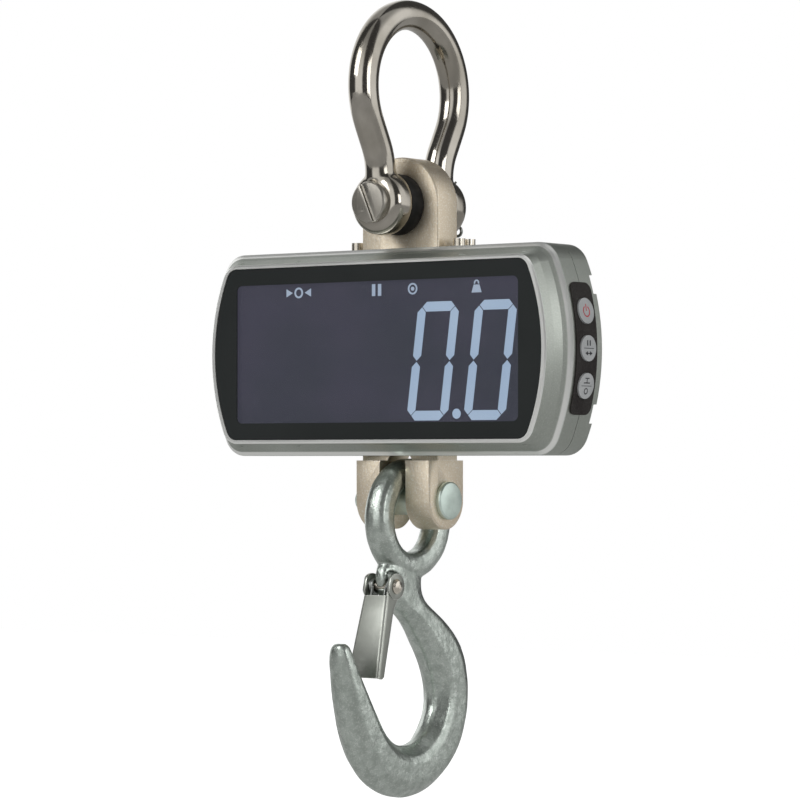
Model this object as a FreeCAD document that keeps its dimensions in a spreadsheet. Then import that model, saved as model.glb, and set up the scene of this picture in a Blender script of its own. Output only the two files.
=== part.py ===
"""Hanging crane scale: shackle, load cell, display housing, clevis pin, hook and safety latch.

Frame: millimetres, X to the right along the display, Y to the back, Z up.  The origin is the
point inside the top of the shackle bow that rests on the crane's hook.  The shackle pin runs
along Y, the lower clevis pin along X, and the housing hangs round the load cell between them.
"""
import FreeCAD, Part
import math
import os
import re

import Sketcher

SIZES = {
    # shackle
    "wire_dia": 15.6, "bow_radius": 39.0, "leg_offset": 24.8, "shoulder_radius": 30.0,
    "pin_drop": 90.3, "eye_dia": 32.5, "eye_gap": 36.4, "eye_width": 13.1, "eye_round": 6.2,
    "pin_dia": 14.8, "head_dia": 21.0, "head_width": 4.6, "pin_tail": 7.6,
    "cotter_wire": 2.0, "cotter_inset": 3.4, "slot_width": 2.2, "slot_depth": 1.6,
    "washer_dia": 31.2, "washer_width": 9.1,
    # load cell and clevis
    "cell_width": 48.8, "cell_depth": 17.0, "clevis_width": 47.6, "clevis_depth": 29.4,
    "clevis_gap": 16.6, "clevis_drop": 221.0, "clevis_pin_drop": 241.5, "slot_top": 5.4,
    "sensing_dia": 15.0, "sensing_pitch": 20.0,
    "clevis_pin_dia": 14.7, "clevis_head_dia": 19.3, "clevis_head_width": 2.8,
    "stub_dia": 10.8, "stub_length": 8.0, "clip_width": 1.2, "clip_dia": 15.0,
    # hook and latch
    "ring_radius": 24.0, "ring_wire": 7.0, "bowl_inner": 24.5, "bowl_outer": 51.0,
    "bowl_half": 9.7, "neck_half": 6.6,
    "rivet_dia": 4.8, "rivet_head_dia": 7.6, "rivet_head": 1.9,
    "ear_span": 16.8, "ear_radius": 6.6, "latch_top": 15.4, "latch_foot": 20.4, "latch_sheet": 1.5,
    "latch_length": 48.4, "latch_face": 5.75,
    "spring_wire": 1.3, "spring_radius": 3.6,
    # housing
    "half_width": 115.0, "half_height": 52.65, "corner": 13.5, "housing_drop": 165.95,
    "front_depth": 31.5, "rim_depth": 20.5, "split_depth": 8.0, "back_depth": 6.5,
    "spine_depth": 14.0, "spine_half": 41.0, "wall": 2.5,
    "panel_half_width": 103.8, "panel_half_height": 44.4, "panel_corner": 6.8,
    "lip_width": 2.4, "window_half_width": 89.6, "window_half_height": 35.8,
    "channel_height": 9.4, "channel_depth": 3.8, "channel_pitch": 64.2,
    # keypad
    "key_pitch": 18.25, "key_dia": 12.8, "strip_width": 17.6, "strip_height": 65.0,
    "strip_thickness": 0.9, "strip_back": 0.2, 
    # electronics
    "board_width": 196.0, "board_height": 77.0, "board_thickness": 1.6, "lcd_width": 182.0,
    "lcd_height": 74.0, "cell_dia": 14.2, "cell_length": 50.0, "cell_pitch": 14.9,
    "screw_dia": 2.9, "screw_head_dia": 5.6, "cap_dia": 6.4, "cap_height": 4.9,
    "cap_x": 32.5, "cap_front": 1.5, "cap_back": 7.2, "digit_height": 59.5, "segment": 4.9, "digit_width": 25.4,
}
S = SIZES
X, Y, Z = FreeCAD.Vector(1, 0, 0), FreeCAD.Vector(0, 1, 0), FreeCAD.Vector(0, 0, 1)
GAP = 0.05          # radial running clearance of every pin and rivet
MIDDLE = -S["housing_drop"]     # height of the housing's centre
PIN_Z = -S["pin_drop"]
CLEVIS_Z = -S["clevis_pin_drop"]
PLANES = {"X": "YZ_Plane", "Y": "XZ_Plane", "Z": "XY_Plane"}

doc = FreeCAD.newDocument("CraneScale")
sheet = doc.addObject("Spreadsheet::Sheet", "Sizes")
for row, (alias, value) in enumerate(SIZES.items(), start=1):
    sheet.set(f"A{row}", alias)
    sheet.set(f"B{row}", str(value))
    sheet.setAlias(f"B{row}", alias)
doc.recompute()
pieces = []


def vec(x, y, z):
    return FreeCAD.Vector(x, y, z)


def formula(text):
    """Turn 'pin_dia / 2' into an expression that reads the spreadsheet."""
    return re.sub(r"[a-z]\w*", lambda word: "Sizes." + word.group(), str(text))


def bind(obj, **formulas):
    for prop, text in formulas.items():
        obj.setExpression(prop, formula(text))
    return obj


def part(obj, name):
    """Name a finished sub-part; its label is its node name."""
    obj.Label = name
    pieces.append(obj)
    return obj


# ---------------------------------------------------------------- primitives and booleans
def scratch_name(kind):
    return f"{kind}{len(doc.Objects):03d}"


def box(length, width, height, centre):
    """A box of formula sizes along X, Y and Z about its centre."""
    obj = doc.addObject("Part::Box", scratch_name("Box"))
    bind(obj, Length=length, Width=width, Height=height)
    doc.recompute()
    half = vec(obj.Length.Value, obj.Width.Value, obj.Height.Value) * 0.5
    obj.Placement = FreeCAD.Placement(centre - half, FreeCAD.Rotation())
    return obj


def rod(diameter, length, start, along):
    """A cylinder of formula sizes from start, running along a direction."""
    obj = doc.addObject("Part::Cylinder", scratch_name("Rod"))
    bind(obj, Radius=f"({diameter}) / 2", Height=length)
    obj.Placement = FreeCAD.Placement(start, FreeCAD.Rotation(Z, along))
    return obj


def torus(radius, wire, centre, along):
    obj = doc.addObject("Part::Torus", scratch_name("Ring"))
    bind(obj, Radius1=radius, Radius2=f"({wire}) / 2")
    obj.Placement = FreeCAD.Placement(centre, FreeCAD.Rotation(Z, along))
    return obj


def fuse(*shapes):
    obj = doc.addObject("Part::MultiFuse", scratch_name("Fuse"))
    obj.Shapes = list(shapes)
    return obj


def cut(base, *tools):
    obj = doc.addObject("Part::Cut", scratch_name("Cut"))
    obj.Base = base
    obj.Tool = tools[0] if len(tools) == 1 else fuse(*tools)
    return obj


def group(shapes):
    """Separate solids that share one node."""
    obj = doc.addObject("Part::Compound", scratch_name("Group"))
    obj.Links = list(shapes)
    return obj


def feature(shape):
    obj = doc.addObject("Part::Feature", scratch_name("Feature"))
    obj.Shape = shape
    return obj


# ---------------------------------------------------------------- PartDesign helpers
def body(name):
    return doc.addObject("PartDesign::Body", name)


def sketch(owner, normal, geometry, at=0.0, lift=0.0, shift=0.0):
    """A sketch on the body's own plane across X, Y or Z, at a distance along that axis.

    Across X the sketch reads (Y, Z), across Y it reads (X, Z) and across Z it reads (X, Y).
    lift and shift move its origin along its second and first direction.
    """
    plane = next(f for f in owner.Origin.OriginFeatures if f.Role == PLANES[normal])
    made = owner.newObject("Sketcher::SketchObject", scratch_name("Sketch"))
    made.AttachmentSupport = [(plane, "")]
    made.MapMode = "FlatFace"
    depth = -at if normal == "Y" else at
    made.AttachmentOffset = FreeCAD.Placement(vec(shift, lift, depth), FreeCAD.Rotation())
    for curve in geometry:
        made.addGeometry(curve, False)
    return made


def pad(owner, profile, length, midplane=False, back=False):
    """Pad a sketch; a sketch across Y grows to the front unless back is set."""
    made = owner.newObject("PartDesign::Pad", scratch_name("Pad"))
    made.Profile = profile
    bind(made, Length=length)
    made.Midplane = midplane
    made.Reversed = back
    doc.recompute()
    return made


def pocket(owner, profile, length, midplane=False, flip=False):
    """Pocket a sketch and make sure that it takes material away."""
    before = owner.Shape.Volume
    made = owner.newObject("PartDesign::Pocket", scratch_name("Pocket"))
    made.Profile = profile
    bind(made, Length=length)
    made.Midplane = midplane
    made.Reversed = flip
    doc.recompute()
    if owner.Shape.Volume > before - 0.01:
        raise ValueError(f"{made.Name} of {owner.Name} cuts nothing")
    return made


def fillet(owner, radius, wanted, chamfer=False):
    """Round or chamfer the edges of the body's tip that a test picks."""
    tip = owner.Tip
    names = [f"Edge{i}" for i, edge in enumerate(tip.Shape.Edges, start=1) if wanted(edge)]
    made = owner.newObject("PartDesign::Chamfer" if chamfer else "PartDesign::Fillet",
                           scratch_name("Edge"))
    made.Base = (tip, names)
    bind(made, **{"Size" if chamfer else "Radius": radius})
    doc.recompute()
    return made


def polygon(points):
    corners = [vec(*p, 0) for p in points]
    return [Part.LineSegment(a, b) for a, b in zip(corners, corners[1:] + corners[:1])]


def rectangle(half_x, half_y, cx=0.0, cy=0.0):
    return polygon([(cx - half_x, cy - half_y), (cx + half_x, cy - half_y),
                    (cx + half_x, cy + half_y), (cx - half_x, cy + half_y)])


def rounded(half_x, half_y, r, cx=0.0, cy=0.0):
    """A rectangle with round corners."""
    lines, k = [], r * (1 - math.sqrt(0.5))
    for sx, sy in ((1, 1), (-1, 1), (-1, -1), (1, -1)):
        ax = vec(cx + sx * half_x, cy + sy * (half_y - r), 0)
        ay = vec(cx + sx * (half_x - r), cy + sy * half_y, 0)
        mid = vec(cx + sx * (half_x - k), cy + sy * (half_y - k), 0)
        lines.append(Part.Arc(ax, mid, ay))
    top = [vec(cx + s * (half_x - r), cy + half_y, 0) for s in (1, -1)]
    low = [vec(cx + s * (half_x - r), cy - half_y, 0) for s in (1, -1)]
    right = [vec(cx + half_x, cy + s * (half_y - r), 0) for s in (1, -1)]
    left = [vec(cx - half_x, cy + s * (half_y - r), 0) for s in (1, -1)]
    return lines + [Part.LineSegment(a, b) for a, b in (top, low, right, left)]


def circle(radius, cx=0.0, cy=0.0):
    return [Part.Circle(vec(cx, cy, 0), vec(0, 0, 1), radius)]


def barrel(half_width, half_height, r):
    """The housing's outline: a circle cut flat at top and bottom, with round corners."""
    cx = math.sqrt((half_width - r) ** 2 - (half_height - r) ** 2)
    cy = half_height - r
    k = half_width / (half_width - r)
    tx, ty = cx * k, cy * k
    turn = (math.atan2(ty, tx) + math.pi / 2) / 2
    mx, my = cx + r * math.cos(turn), cy + r * math.sin(turn)
    curves = []
    for s in (1, -1):
        curves.append(Part.LineSegment(vec(-cx, s * half_height, 0), vec(cx, s * half_height, 0)))
        curves.append(Part.Arc(vec(s * tx, -ty, 0), vec(s * half_width, 0, 0), vec(s * tx, ty, 0)))
        for e in (1, -1):
            curves.append(Part.Arc(vec(s * cx, e * half_height, 0), vec(s * mx, e * my, 0),
                                   vec(s * tx, e * ty, 0)))
    return curves


def revolve(owner, section):
    """Revolve a sketch a full turn about its own horizontal axis."""
    made = owner.newObject("PartDesign::Revolution", scratch_name("Turned"))
    made.Profile = section
    made.ReferenceAxis = (section, ["H_Axis"])
    made.Angle = 360.0
    doc.recompute()
    return made


def turned(name, axis, profile, across=0.0, height=0.0):
    """A turned part: (along, radius) points revolved about a line along X or Y."""
    owner = body(name)
    outline = polygon(profile)
    if axis == "X":
        section = sketch(owner, "Y", outline, at=across, lift=height)
    else:
        section = sketch(owner, "X", outline, at=across, lift=height)
    revolve(owner, section)
    return owner


def tube(points, diameter):
    """A cord along straight runs joined by tangent arcs, as large as the runs allow."""
    pts = [vec(*p) for p in points]
    edges, here = [], pts[0]
    for before, corner, after in zip(pts, pts[1:], pts[2:]):
        run_in, run_out = corner - before, after - corner
        turn = run_in.getAngle(run_out)
        trim = 0.45 * min(run_in.Length, run_out.Length)
        u, v = run_in.normalize(), run_out.normalize()
        start, end = corner - u * trim, corner + v * trim
        radius = trim / math.tan(turn / 2)
        inward = (v - u).normalize()
        mid = corner + inward * (radius / math.cos(turn / 2) - radius)
        print(f"cord arc radius {radius:.1f}")
        edges.append(Part.LineSegment(here, start).toShape())
        edges.append(Part.Arc(start, mid, end).toShape())
        here = end
    edges.append(Part.LineSegment(here, pts[-1]).toShape())
    spine = Part.Wire(edges)
    profile = Part.Wire(Part.makeCircle(diameter / 2, pts[0], pts[1] - pts[0]))
    shape = spine.makePipeShell([profile], True, True)
    expected = math.pi * diameter ** 2 / 4 * spine.Length
    if abs(shape.Volume - expected) > 0.02 * expected:
        raise ValueError("a cord's volume is wrong")
    return feature(shape)


# ---------------------------------------------------------------- shackle
def make_shackle_bow():
    owner = body("ShackleBow")
    lean = math.radians(28.0)
    centre = S["wire_dia"] / 2 - S["bow_radius"]
    leg, radius = S["leg_offset"], S["bow_radius"]
    end = (radius * math.cos(lean), centre - radius * math.sin(lean))
    run = (end[0] - leg) / math.sin(lean)
    knee = (leg, end[1] - run * math.cos(lean))
    trim = S["shoulder_radius"] * math.tan(lean / 2)
    above = (knee[0] + trim * math.sin(lean), knee[1] + trim * math.cos(lean))
    below = (leg, knee[1] - trim)
    half = lean / 2
    bend_x = leg + S["shoulder_radius"] * (1 - math.cos(half))
    bend_z = below[1] + S["shoulder_radius"] * math.sin(half)
    right = [vec(leg, PIN_Z, 0), vec(*below, 0), vec(bend_x, bend_z, 0), vec(*above, 0),
             vec(*end, 0)]
    left = [vec(-p.x, p.y, 0) for p in right]
    top = vec(0, centre + radius, 0)
    path = [Part.LineSegment(left[0], left[1]), Part.Arc(left[1], left[2], left[3]),
            Part.LineSegment(left[3], left[4]), Part.Arc(left[4], top, right[4]),
            Part.LineSegment(right[4], right[3]), Part.Arc(right[3], right[2], right[1]),
            Part.LineSegment(right[1], right[0])]
    spine = sketch(owner, "X", path)
    profile = sketch(owner, "Z", circle(S["wire_dia"] / 2, 0, -leg), at=PIN_Z)
    sweep = owner.newObject("PartDesign::AdditivePipe", "BowSweep")
    sweep.Profile = profile
    sweep.Spine = (spine, [f"Edge{i}" for i in range(1, len(path) + 1)])
    doc.recompute()
    eye, near = S["eye_dia"] / 2, S["eye_gap"] / 2
    far, r = near + S["eye_width"], S["eye_round"]
    mid = r * (1 - math.sqrt(0.5))
    for side in (1, -1):
        outline = [Part.LineSegment(vec(side * near, 0, 0), vec(side * near, eye, 0)),
                   Part.LineSegment(vec(side * near, eye, 0), vec(side * (far - r), eye, 0)),
                   Part.Arc(vec(side * (far - r), eye, 0), vec(side * (far - mid), eye - mid, 0),
                            vec(side * far, eye - r, 0)),
                   Part.LineSegment(vec(side * far, eye - r, 0), vec(side * far, 0, 0)),
                   Part.LineSegment(vec(side * far, 0, 0), vec(side * near, 0, 0))]
        revolve(owner, sketch(owner, "X", outline, lift=PIN_Z))
    pocket(owner, sketch(owner, "Y", circle(eye + 1.5, 0, PIN_Z)), "eye_gap", midplane=True)
    bore = sketch(owner, "Y", circle(S["pin_dia"] / 2 + GAP, 0, PIN_Z))
    pocket(owner, bore, "eye_gap + 2 * eye_width + 20", midplane=True)
    for side in (1, -1):
        spot = sketch(owner, "Y", circle(S["head_dia"] / 2 + 0.6, 0, PIN_Z), at=side * (far + 5))
        pocket(owner, spot, "5", flip=side > 0)
    return part(owner, "shackle_bow")


def make_shackle_pin():
    face = -(S["eye_gap"] / 2 + S["eye_width"])
    front, back = face - S["head_width"], -face + S["pin_tail"]
    r, head, bevel = S["pin_dia"] / 2, S["head_dia"] / 2, 0.8
    shaft = turned("PinBody", "Y", [
        (front, 0), (front, head - bevel), (front + bevel, head), (face, head), (face, r),
        (back - bevel, r), (back, r - bevel), (back, 0)], height=PIN_Z)
    groove = box("slot_width", "slot_depth * 2", "head_dia + 2", vec(0, front, 0))
    groove.Placement = FreeCAD.Placement(vec(0, 0, PIN_Z), FreeCAD.Rotation(Y, -24)).multiply(
        groove.Placement)
    hole = rod("cotter_wire + 0.2", "pin_dia + 4", vec(0, 0, 0), Z)
    hole.Placement = cotter_frame(-S["pin_dia"] / 2 - 2)
    return part(cut(shaft, groove, hole), "shackle_pin")


def cotter_frame(along):
    """Placement of something along the split pin's axis, which leans from the vertical."""
    lean = FreeCAD.Rotation(Y, -22)
    y = S["eye_gap"] / 2 + S["eye_width"] + S["pin_tail"] - S["cotter_inset"]
    return FreeCAD.Placement(vec(0, y, PIN_Z) + lean.multVec(Z) * along, lean)


def make_cotter_pin():
    r = S["pin_dia"] / 2
    wire = S["cotter_wire"] / 2
    leg = rod("cotter_wire", "pin_dia + 5", vec(0, 0, 0), Z)
    leg.Placement = cotter_frame(-r - 3)
    eye_radius = 2.4
    eye = torus("2.4", "1.6", vec(0, 0, 0), Y)
    eye.Placement = cotter_frame(-r - 2.6 - eye_radius).multiply(
        FreeCAD.Placement(vec(0, 0, 0), FreeCAD.Rotation(Z, Y)))
    prongs = []
    for side, length in ((1, 9.0), (-1, 6.5)):
        prong = rod("cotter_wire * 0.62", length, vec(0, 0, 0), Z)
        prong.Placement = cotter_frame(r + 1.2).multiply(
            FreeCAD.Placement(vec(side * wire * 0.35, 0, 0), FreeCAD.Rotation(Y, side * 68)))
        prongs.append(prong)
    return part(fuse(leg, eye, *prongs), "cotter_pin")


def make_spacer_washers():
    for name, side in (("spacer_washer_front", -1), ("spacer_washer_rear", 1)):
        start = vec(0, side * (S["eye_gap"] / 2 - 0.1), PIN_Z)
        disc = rod("washer_dia", "washer_width", start, Y * -side)
        hole = rod("pin_dia + 0.5", "washer_width + 2", start + Y * side, Y * -side)
        part(cut(disc, hole), name)


# ---------------------------------------------------------------- load cell and clevis pin
def make_load_cell():
    owner = body("LoadCell")
    half, ear = S["cell_width"] / 2, S["clevis_depth"] / 2
    below = -S["clevis_drop"]
    plate = [Part.LineSegment(vec(-half, below, 0), vec(half, below, 0)),
             Part.LineSegment(vec(half, below, 0), vec(half, PIN_Z, 0)),
             Part.Arc(vec(half, PIN_Z, 0), vec(0, PIN_Z + half, 0), vec(-half, PIN_Z, 0)),
             Part.LineSegment(vec(-half, PIN_Z, 0), vec(-half, below, 0))]
    pad(owner, sketch(owner, "Y", plate), "cell_depth", midplane=True)
    fillet(owner, "0.8", lambda e: e.BoundBox.YLength < 0.01 and e.BoundBox.ZMax > below + 1,
           chamfer=True)
    cheek = [Part.LineSegment(vec(-ear, CLEVIS_Z, 0), vec(-ear, below, 0)),
             Part.LineSegment(vec(-ear, below, 0), vec(ear, below, 0)),
             Part.LineSegment(vec(ear, below, 0), vec(ear, CLEVIS_Z, 0)),
             Part.Arc(vec(ear, CLEVIS_Z, 0), vec(0, CLEVIS_Z - ear, 0), vec(-ear, CLEVIS_Z, 0))]
    pad(owner, sketch(owner, "X", cheek), "clevis_width", midplane=True)
    gap, top = S["clevis_gap"] / 2, below + S["slot_top"]
    slot = [Part.LineSegment(vec(gap, CLEVIS_Z - 40, 0), vec(gap, top - gap, 0)),
            Part.Arc(vec(gap, top - gap, 0), vec(0, top, 0), vec(-gap, top - gap, 0)),
            Part.LineSegment(vec(-gap, top - gap, 0), vec(-gap, CLEVIS_Z - 40, 0)),
            Part.LineSegment(vec(-gap, CLEVIS_Z - 40, 0), vec(gap, CLEVIS_Z - 40, 0))]
    pocket(owner, sketch(owner, "Y", slot), "clevis_depth + 2", midplane=True)
    fillet(owner, "0.9", lambda e: (e.BoundBox.XLength < 0.01 and e.BoundBox.ZMax < below + 0.1
                                    and abs(abs(e.BoundBox.Center.x) - S["clevis_width"] / 2)
                                    < 0.01 and e.BoundBox.ZLength > 1), chamfer=True)
    eye = circle(S["pin_dia"] / 2 + GAP, 0, PIN_Z)
    pocket(owner, sketch(owner, "Y", eye), "cell_depth + 2", midplane=True)
    low = circle(S["clevis_pin_dia"] / 2 + GAP, 0, CLEVIS_Z)
    pocket(owner, sketch(owner, "X", low), "clevis_width + 2", midplane=True)
    r, pitch = S["sensing_dia"] / 2, S["sensing_pitch"] / 2
    windows = circle(r, 0, MIDDLE + pitch) + circle(r, 0, MIDDLE - pitch)
    pocket(owner, sketch(owner, "Y", windows), "cell_depth + 2", midplane=True)
    pocket(owner, sketch(owner, "Y", rectangle(2.2, pitch, 0, MIDDLE)), "cell_depth + 2",
           midplane=True)
    return part(owner, "load_cell")


def make_strain_gauges():
    plates = []
    for side in (1, -1):
        for height in (1, -1):
            centre = vec(side * (S["cell_width"] / 2 + 0.35), 0,
                         MIDDLE + height * S["sensing_pitch"] / 2)
            plates.append(box("0.5", "7", "9", centre))
    return part(group(plates), "strain_gauges")


def make_clevis_pin():
    edge, r = S["clevis_width"] / 2, S["clevis_pin_dia"] / 2
    head, stub, bevel = S["clevis_head_dia"] / 2, S["stub_dia"] / 2, 0.7
    right, left = edge + S["clevis_head_width"], -edge - S["stub_length"]
    groove = -edge - 2.6
    part(turned("ClevisPin", "X", [
        (right, 0), (right, head - bevel), (right - bevel, head), (edge, head), (edge, r),
        (-edge, r), (-edge, stub), (groove, stub), (groove, stub - 1),
        (groove - S["clip_width"] - 0.1, stub - 1), (groove - S["clip_width"] - 0.1, stub),
        (left + bevel, stub), (left, stub - bevel), (left, 0)], height=CLEVIS_Z), "clevis_pin")
    disc = rod("clevis_head_dia - 1", "1.6", vec(-edge - 0.1, 0, CLEVIS_Z), -X)
    hole = rod("stub_dia + 0.2", "4", vec(-edge + 1, 0, CLEVIS_Z), -X)
    part(cut(disc, hole), "clevis_washer")
    start = vec(groove - 0.05, 0, CLEVIS_Z)
    ring = rod("clip_dia", "clip_width", start, -X)
    inner = rod("stub_dia - 1.9", "clip_width + 2", start + X, -X)
    mouth = box("clip_width + 2", "5", "clip_dia", start + vec(-S["clip_width"] / 2, 0, -9))
    part(cut(ring, inner, mouth), "clevis_circlip")


# ---------------------------------------------------------------- hook
BOWL = (-6.5, -342.0)           # centre of the hook's bowl in Y and Z
RING = (-1.5, -250.95)          # centre of the hook's eye
RIVET = (-22.2, -284.9)         # latch pivot
LATCH_TILT = 14.8               # lean of the closed latch from the vertical, in degrees


def forged_outline(half_depth, half_width, strip=2.4, soften=0.16):
    """Corners of a forged octagon: flat sides, sloping shoulders and a narrow strip each end."""
    slope = min(6.2, 0.46 * half_depth)
    strip = min(strip, 0.45 * half_width)
    corners = [(half_depth, -strip), (half_depth, strip), (half_depth - slope, half_width),
               (slope - half_depth, half_width), (-half_depth, strip), (-half_depth, -strip),
               (slope - half_depth, -half_width), (half_depth - slope, -half_width)]
    soft = []
    for before, here, after in zip(corners[-1:] + corners[:-1], corners, corners[1:] + corners[:1]):
        for other in (before, after):
            soft.append((here[0] + (other[0] - here[0]) * soften,
                         here[1] + (other[1] - here[1]) * soften))
    return soft


def hook_section(front, back, half):
    """A closed forged section between two points of the middle plane, half thick in X."""
    a, b = vec(0, *front), vec(0, *back)
    centre, across = (a + b) * 0.5, (b - a) * 0.5
    along = vec(across.x, across.y, across.z).normalize()
    points = [centre + along * d + X * w for d, w in forged_outline(across.Length, half)]
    return Part.makePolygon(points + points[:1])


def make_hook():
    cy, cz = BOWL
    neck, bowl = S["neck_half"], S["bowl_half"]
    stations = [((-23.0, -266.0), (10.0, -266.0), neck), ((-25.0, -276.0), (7.6, -276.0), neck),
                ((-25.2, -285.4), (6.6, -285.0), neck), ((-19.5, -294.0), (9.6, -292.5), neck + 0.3),
                ((-10.0, -300.0), (18.5, -299.0), neck + 1.0),
                ((-1.5, -307.5), (28.5, -306.0), bowl - 1.4),
                ((7.0, -318.0), (37.5, -315.5), bowl - 0.5), ((14.5, -329.5), (42.8, -327.5), bowl)]
    for degrees in (0, -28, -56, -84, -112, -138):
        turn = math.radians(degrees)
        y, z = math.cos(turn), math.sin(turn)
        stations.append(((cy + S["bowl_inner"] * y, cz + S["bowl_inner"] * z),
                         (cy + S["bowl_outer"] * y, cz + S["bowl_outer"] * z), bowl))
    stations += [((-32.5, -350.0), (-54.8, -355.5), bowl - 0.4),
                 ((-40.5, -338.5), (-58.2, -341.5), bowl - 1.2),
                 ((-48.0, -327.0), (-60.4, -328.0), bowl - 2.4),
                 ((-52.3, -319.0), (-61.5, -319.0), bowl - 3.6),
                 ((-54.0, -314.6), (-61.2, -314.4), bowl - 5.0),
                 ((-56.2, -312.5), (-59.4, -312.4), bowl - 7.6)]
    shank = Part.makeLoft([hook_section(*s) for s in stations], True, False)
    outline = forged_outline(S["ring_wire"], S["ring_wire"], strip=3.2, soften=0.22)
    section = Part.makePolygon([vec(w, RING[0], RING[1] + S["ring_radius"] + d)
                                for d, w in outline + outline[:1]])
    ring = Part.Face(section).revolve(vec(0, *RING), X, 360)
    eye = Part.makeCylinder(S["ring_radius"] - 1, 60, vec(-30, *RING), X)
    solid = shank.cut(eye).fuse(ring)
    for side in (1, -1):
        seat = Part.makeCylinder(7.6, 12, vec(side * 3.3, *RIVET), X * side)
        solid = solid.cut(seat)
    hole = Part.makeCylinder(S["rivet_dia"] / 2 + GAP, 60, vec(-30, *RIVET), X)
    return part(feature(solid.cut(hole)), "hook")


def latch_place(base):
    """Carry something built hanging straight down from the rivet to the latch's closed lean."""
    return FreeCAD.Placement(vec(0, *RIVET), FreeCAD.Rotation(X, -LATCH_TILT)).multiply(base)


def tapered(owner, half_top, half_foot, reach, depth, r, kind):
    """Loft between two round-cornered sections across Z, from the rivet down past the foot."""
    low = -S["latch_length"]
    scale = (half_foot - half_top) / (low + 6.0)
    ends = []
    for z in (0.0, low - reach):
        half = half_top + scale * (z + 6.0)
        ends.append(sketch(owner, "Z", rounded(half, 10.0, r, 0, depth + 10.0), at=z))
    made = owner.newObject(f"PartDesign::{kind}Loft", scratch_name("Loft"))
    made.Profile = ends[0]
    made.Sections = [ends[1]]
    doc.recompute()


def make_latch():
    """A bent sheet channel, wider at its foot, whose ears hang on the rivet."""
    owner = body("Latch")
    face, low, sheet_ = -S["latch_face"], -S["latch_length"], S["latch_sheet"]
    ear, top, foot = S["ear_radius"], S["latch_top"] / 2, S["latch_foot"] / 2
    tapered(owner, top, foot, 0.0, face, 1.9, "Additive")
    tapered(owner, top - sheet_, foot - sheet_, 2.0, face + sheet_, 0.5, "Subtractive")
    beyond = [Part.LineSegment(vec(ear - 0.9, 0.1, 0), vec(ear - 0.9, -3.2, 0)),
              Part.Arc(vec(ear - 0.9, -3.2, 0), vec(1.9, -9.0, 0), vec(0.9, -15.0, 0)),
              Part.LineSegment(vec(0.9, -15.0, 0), vec(-0.8, low + 1.5, 0)),
              Part.LineSegment(vec(-0.8, low + 1.5, 0), vec(-2.3, low, 0)),
              Part.LineSegment(vec(-2.3, low, 0), vec(-2.3, low - 2, 0)),
              Part.LineSegment(vec(-2.3, low - 2, 0), vec(40, low - 2, 0)),
              Part.LineSegment(vec(40, low - 2, 0), vec(40, 0.1, 0)),
              Part.LineSegment(vec(40, 0.1, 0), vec(ear - 0.9, 0.1, 0))]
    pocket(owner, sketch(owner, "X", beyond), "latch_foot + 8", midplane=True)
    pad(owner, sketch(owner, "X", circle(ear)), "ear_span", midplane=True)
    neck_room = [(face - 3, -6.0), (20, -6.0), (20, 10), (face - 3, 10)]
    pocket(owner, sketch(owner, "X", polygon(neck_room)), "ear_span - 2 * latch_sheet",
           midplane=True)
    inside = [(face + sheet_, -20), (20, -20), (20, 1), (face + sheet_, 1)]
    pocket(owner, sketch(owner, "X", polygon(inside)), "latch_top - 2 * latch_sheet",
           midplane=True)
    front = [(face, 10), (face - 5, 10), (face - 5, -20), (face, -20)]
    pocket(owner, sketch(owner, "X", polygon(front)), "ear_span + 2", midplane=True)
    pocket(owner, sketch(owner, "X", circle(S["rivet_dia"] / 2 + GAP)), "ear_span + 2",
           midplane=True)
    owner.Placement = latch_place(FreeCAD.Placement())
    return part(owner, "latch")


def make_latch_rivet():
    r, head, edge = S["rivet_dia"] / 2, S["rivet_head_dia"] / 2, S["ear_span"] / 2 + 0.15
    out = edge + S["rivet_head"]
    profile = [(out, 0), (out, 1.0), (out - 0.5, head - 0.9), (edge + 0.5, head), (edge, head),
               (edge, r)]
    mirror = [(-x, y) for x, y in reversed(profile)]
    return part(turned("LatchRivet", "X", profile + mirror, across=RIVET[0], height=RIVET[1]),
                "latch_rivet")


def make_latch_spring():
    """Two coils round the rivet, joined by a bridge that bears on the back of the latch."""
    rings, legs = [], []
    wire = S["spring_wire"]
    back = -S["latch_face"] + S["latch_sheet"] + wire / 2 + 0.15
    for side in (1, -1):
        for turn in range(2):
            centre = vec(side * (4.15 + turn * wire * 0.98), 0, 0)
            rings.append(torus("spring_radius", "spring_wire", centre, X))
        legs.append(rod("spring_wire", "14.2", vec(side * 4.15, back, 0), -Z))
    bridge = rod("spring_wire", "8.3", vec(-4.15, back, -14.2), X)
    spring = fuse(*rings, *legs, bridge)
    spring.Placement = latch_place(FreeCAD.Placement())
    return part(spring, "latch_spring")


# ---------------------------------------------------------------- housing
def loft_between(owner, stations):
    """Add ruled lofts from one barrel outline to the next; each is (y, width, height, corner)."""
    for (y0, *first), (y1, *second) in zip(stations, stations[1:]):
        a = sketch(owner, "Y", barrel(*first), at=y0, lift=MIDDLE)
        b = sketch(owner, "Y", barrel(*second), at=y1, lift=MIDDLE)
        made = owner.newObject("PartDesign::AdditiveLoft", scratch_name("Loft"))
        made.Profile = a
        made.Sections = [b]
        made.Ruled = True
        doc.recompute()


SCREWS = [(sx * x, MIDDLE + sz * 44.0) for sx in (1, -1) for sz in (1, -1) for x in (90.0, 52.0)]
BOARD_FIXINGS = [(sx * 95.0, MIDDLE + sz * 30.0) for sx in (1, -1) for sz in (1, -1)]
KEYS = (("power", 1), ("hold", 0), ("tare", -1))
SEAT = -28.6                    # Y of the ledge that the display lens lies on
LEDGE_BACK = -26.1


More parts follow.
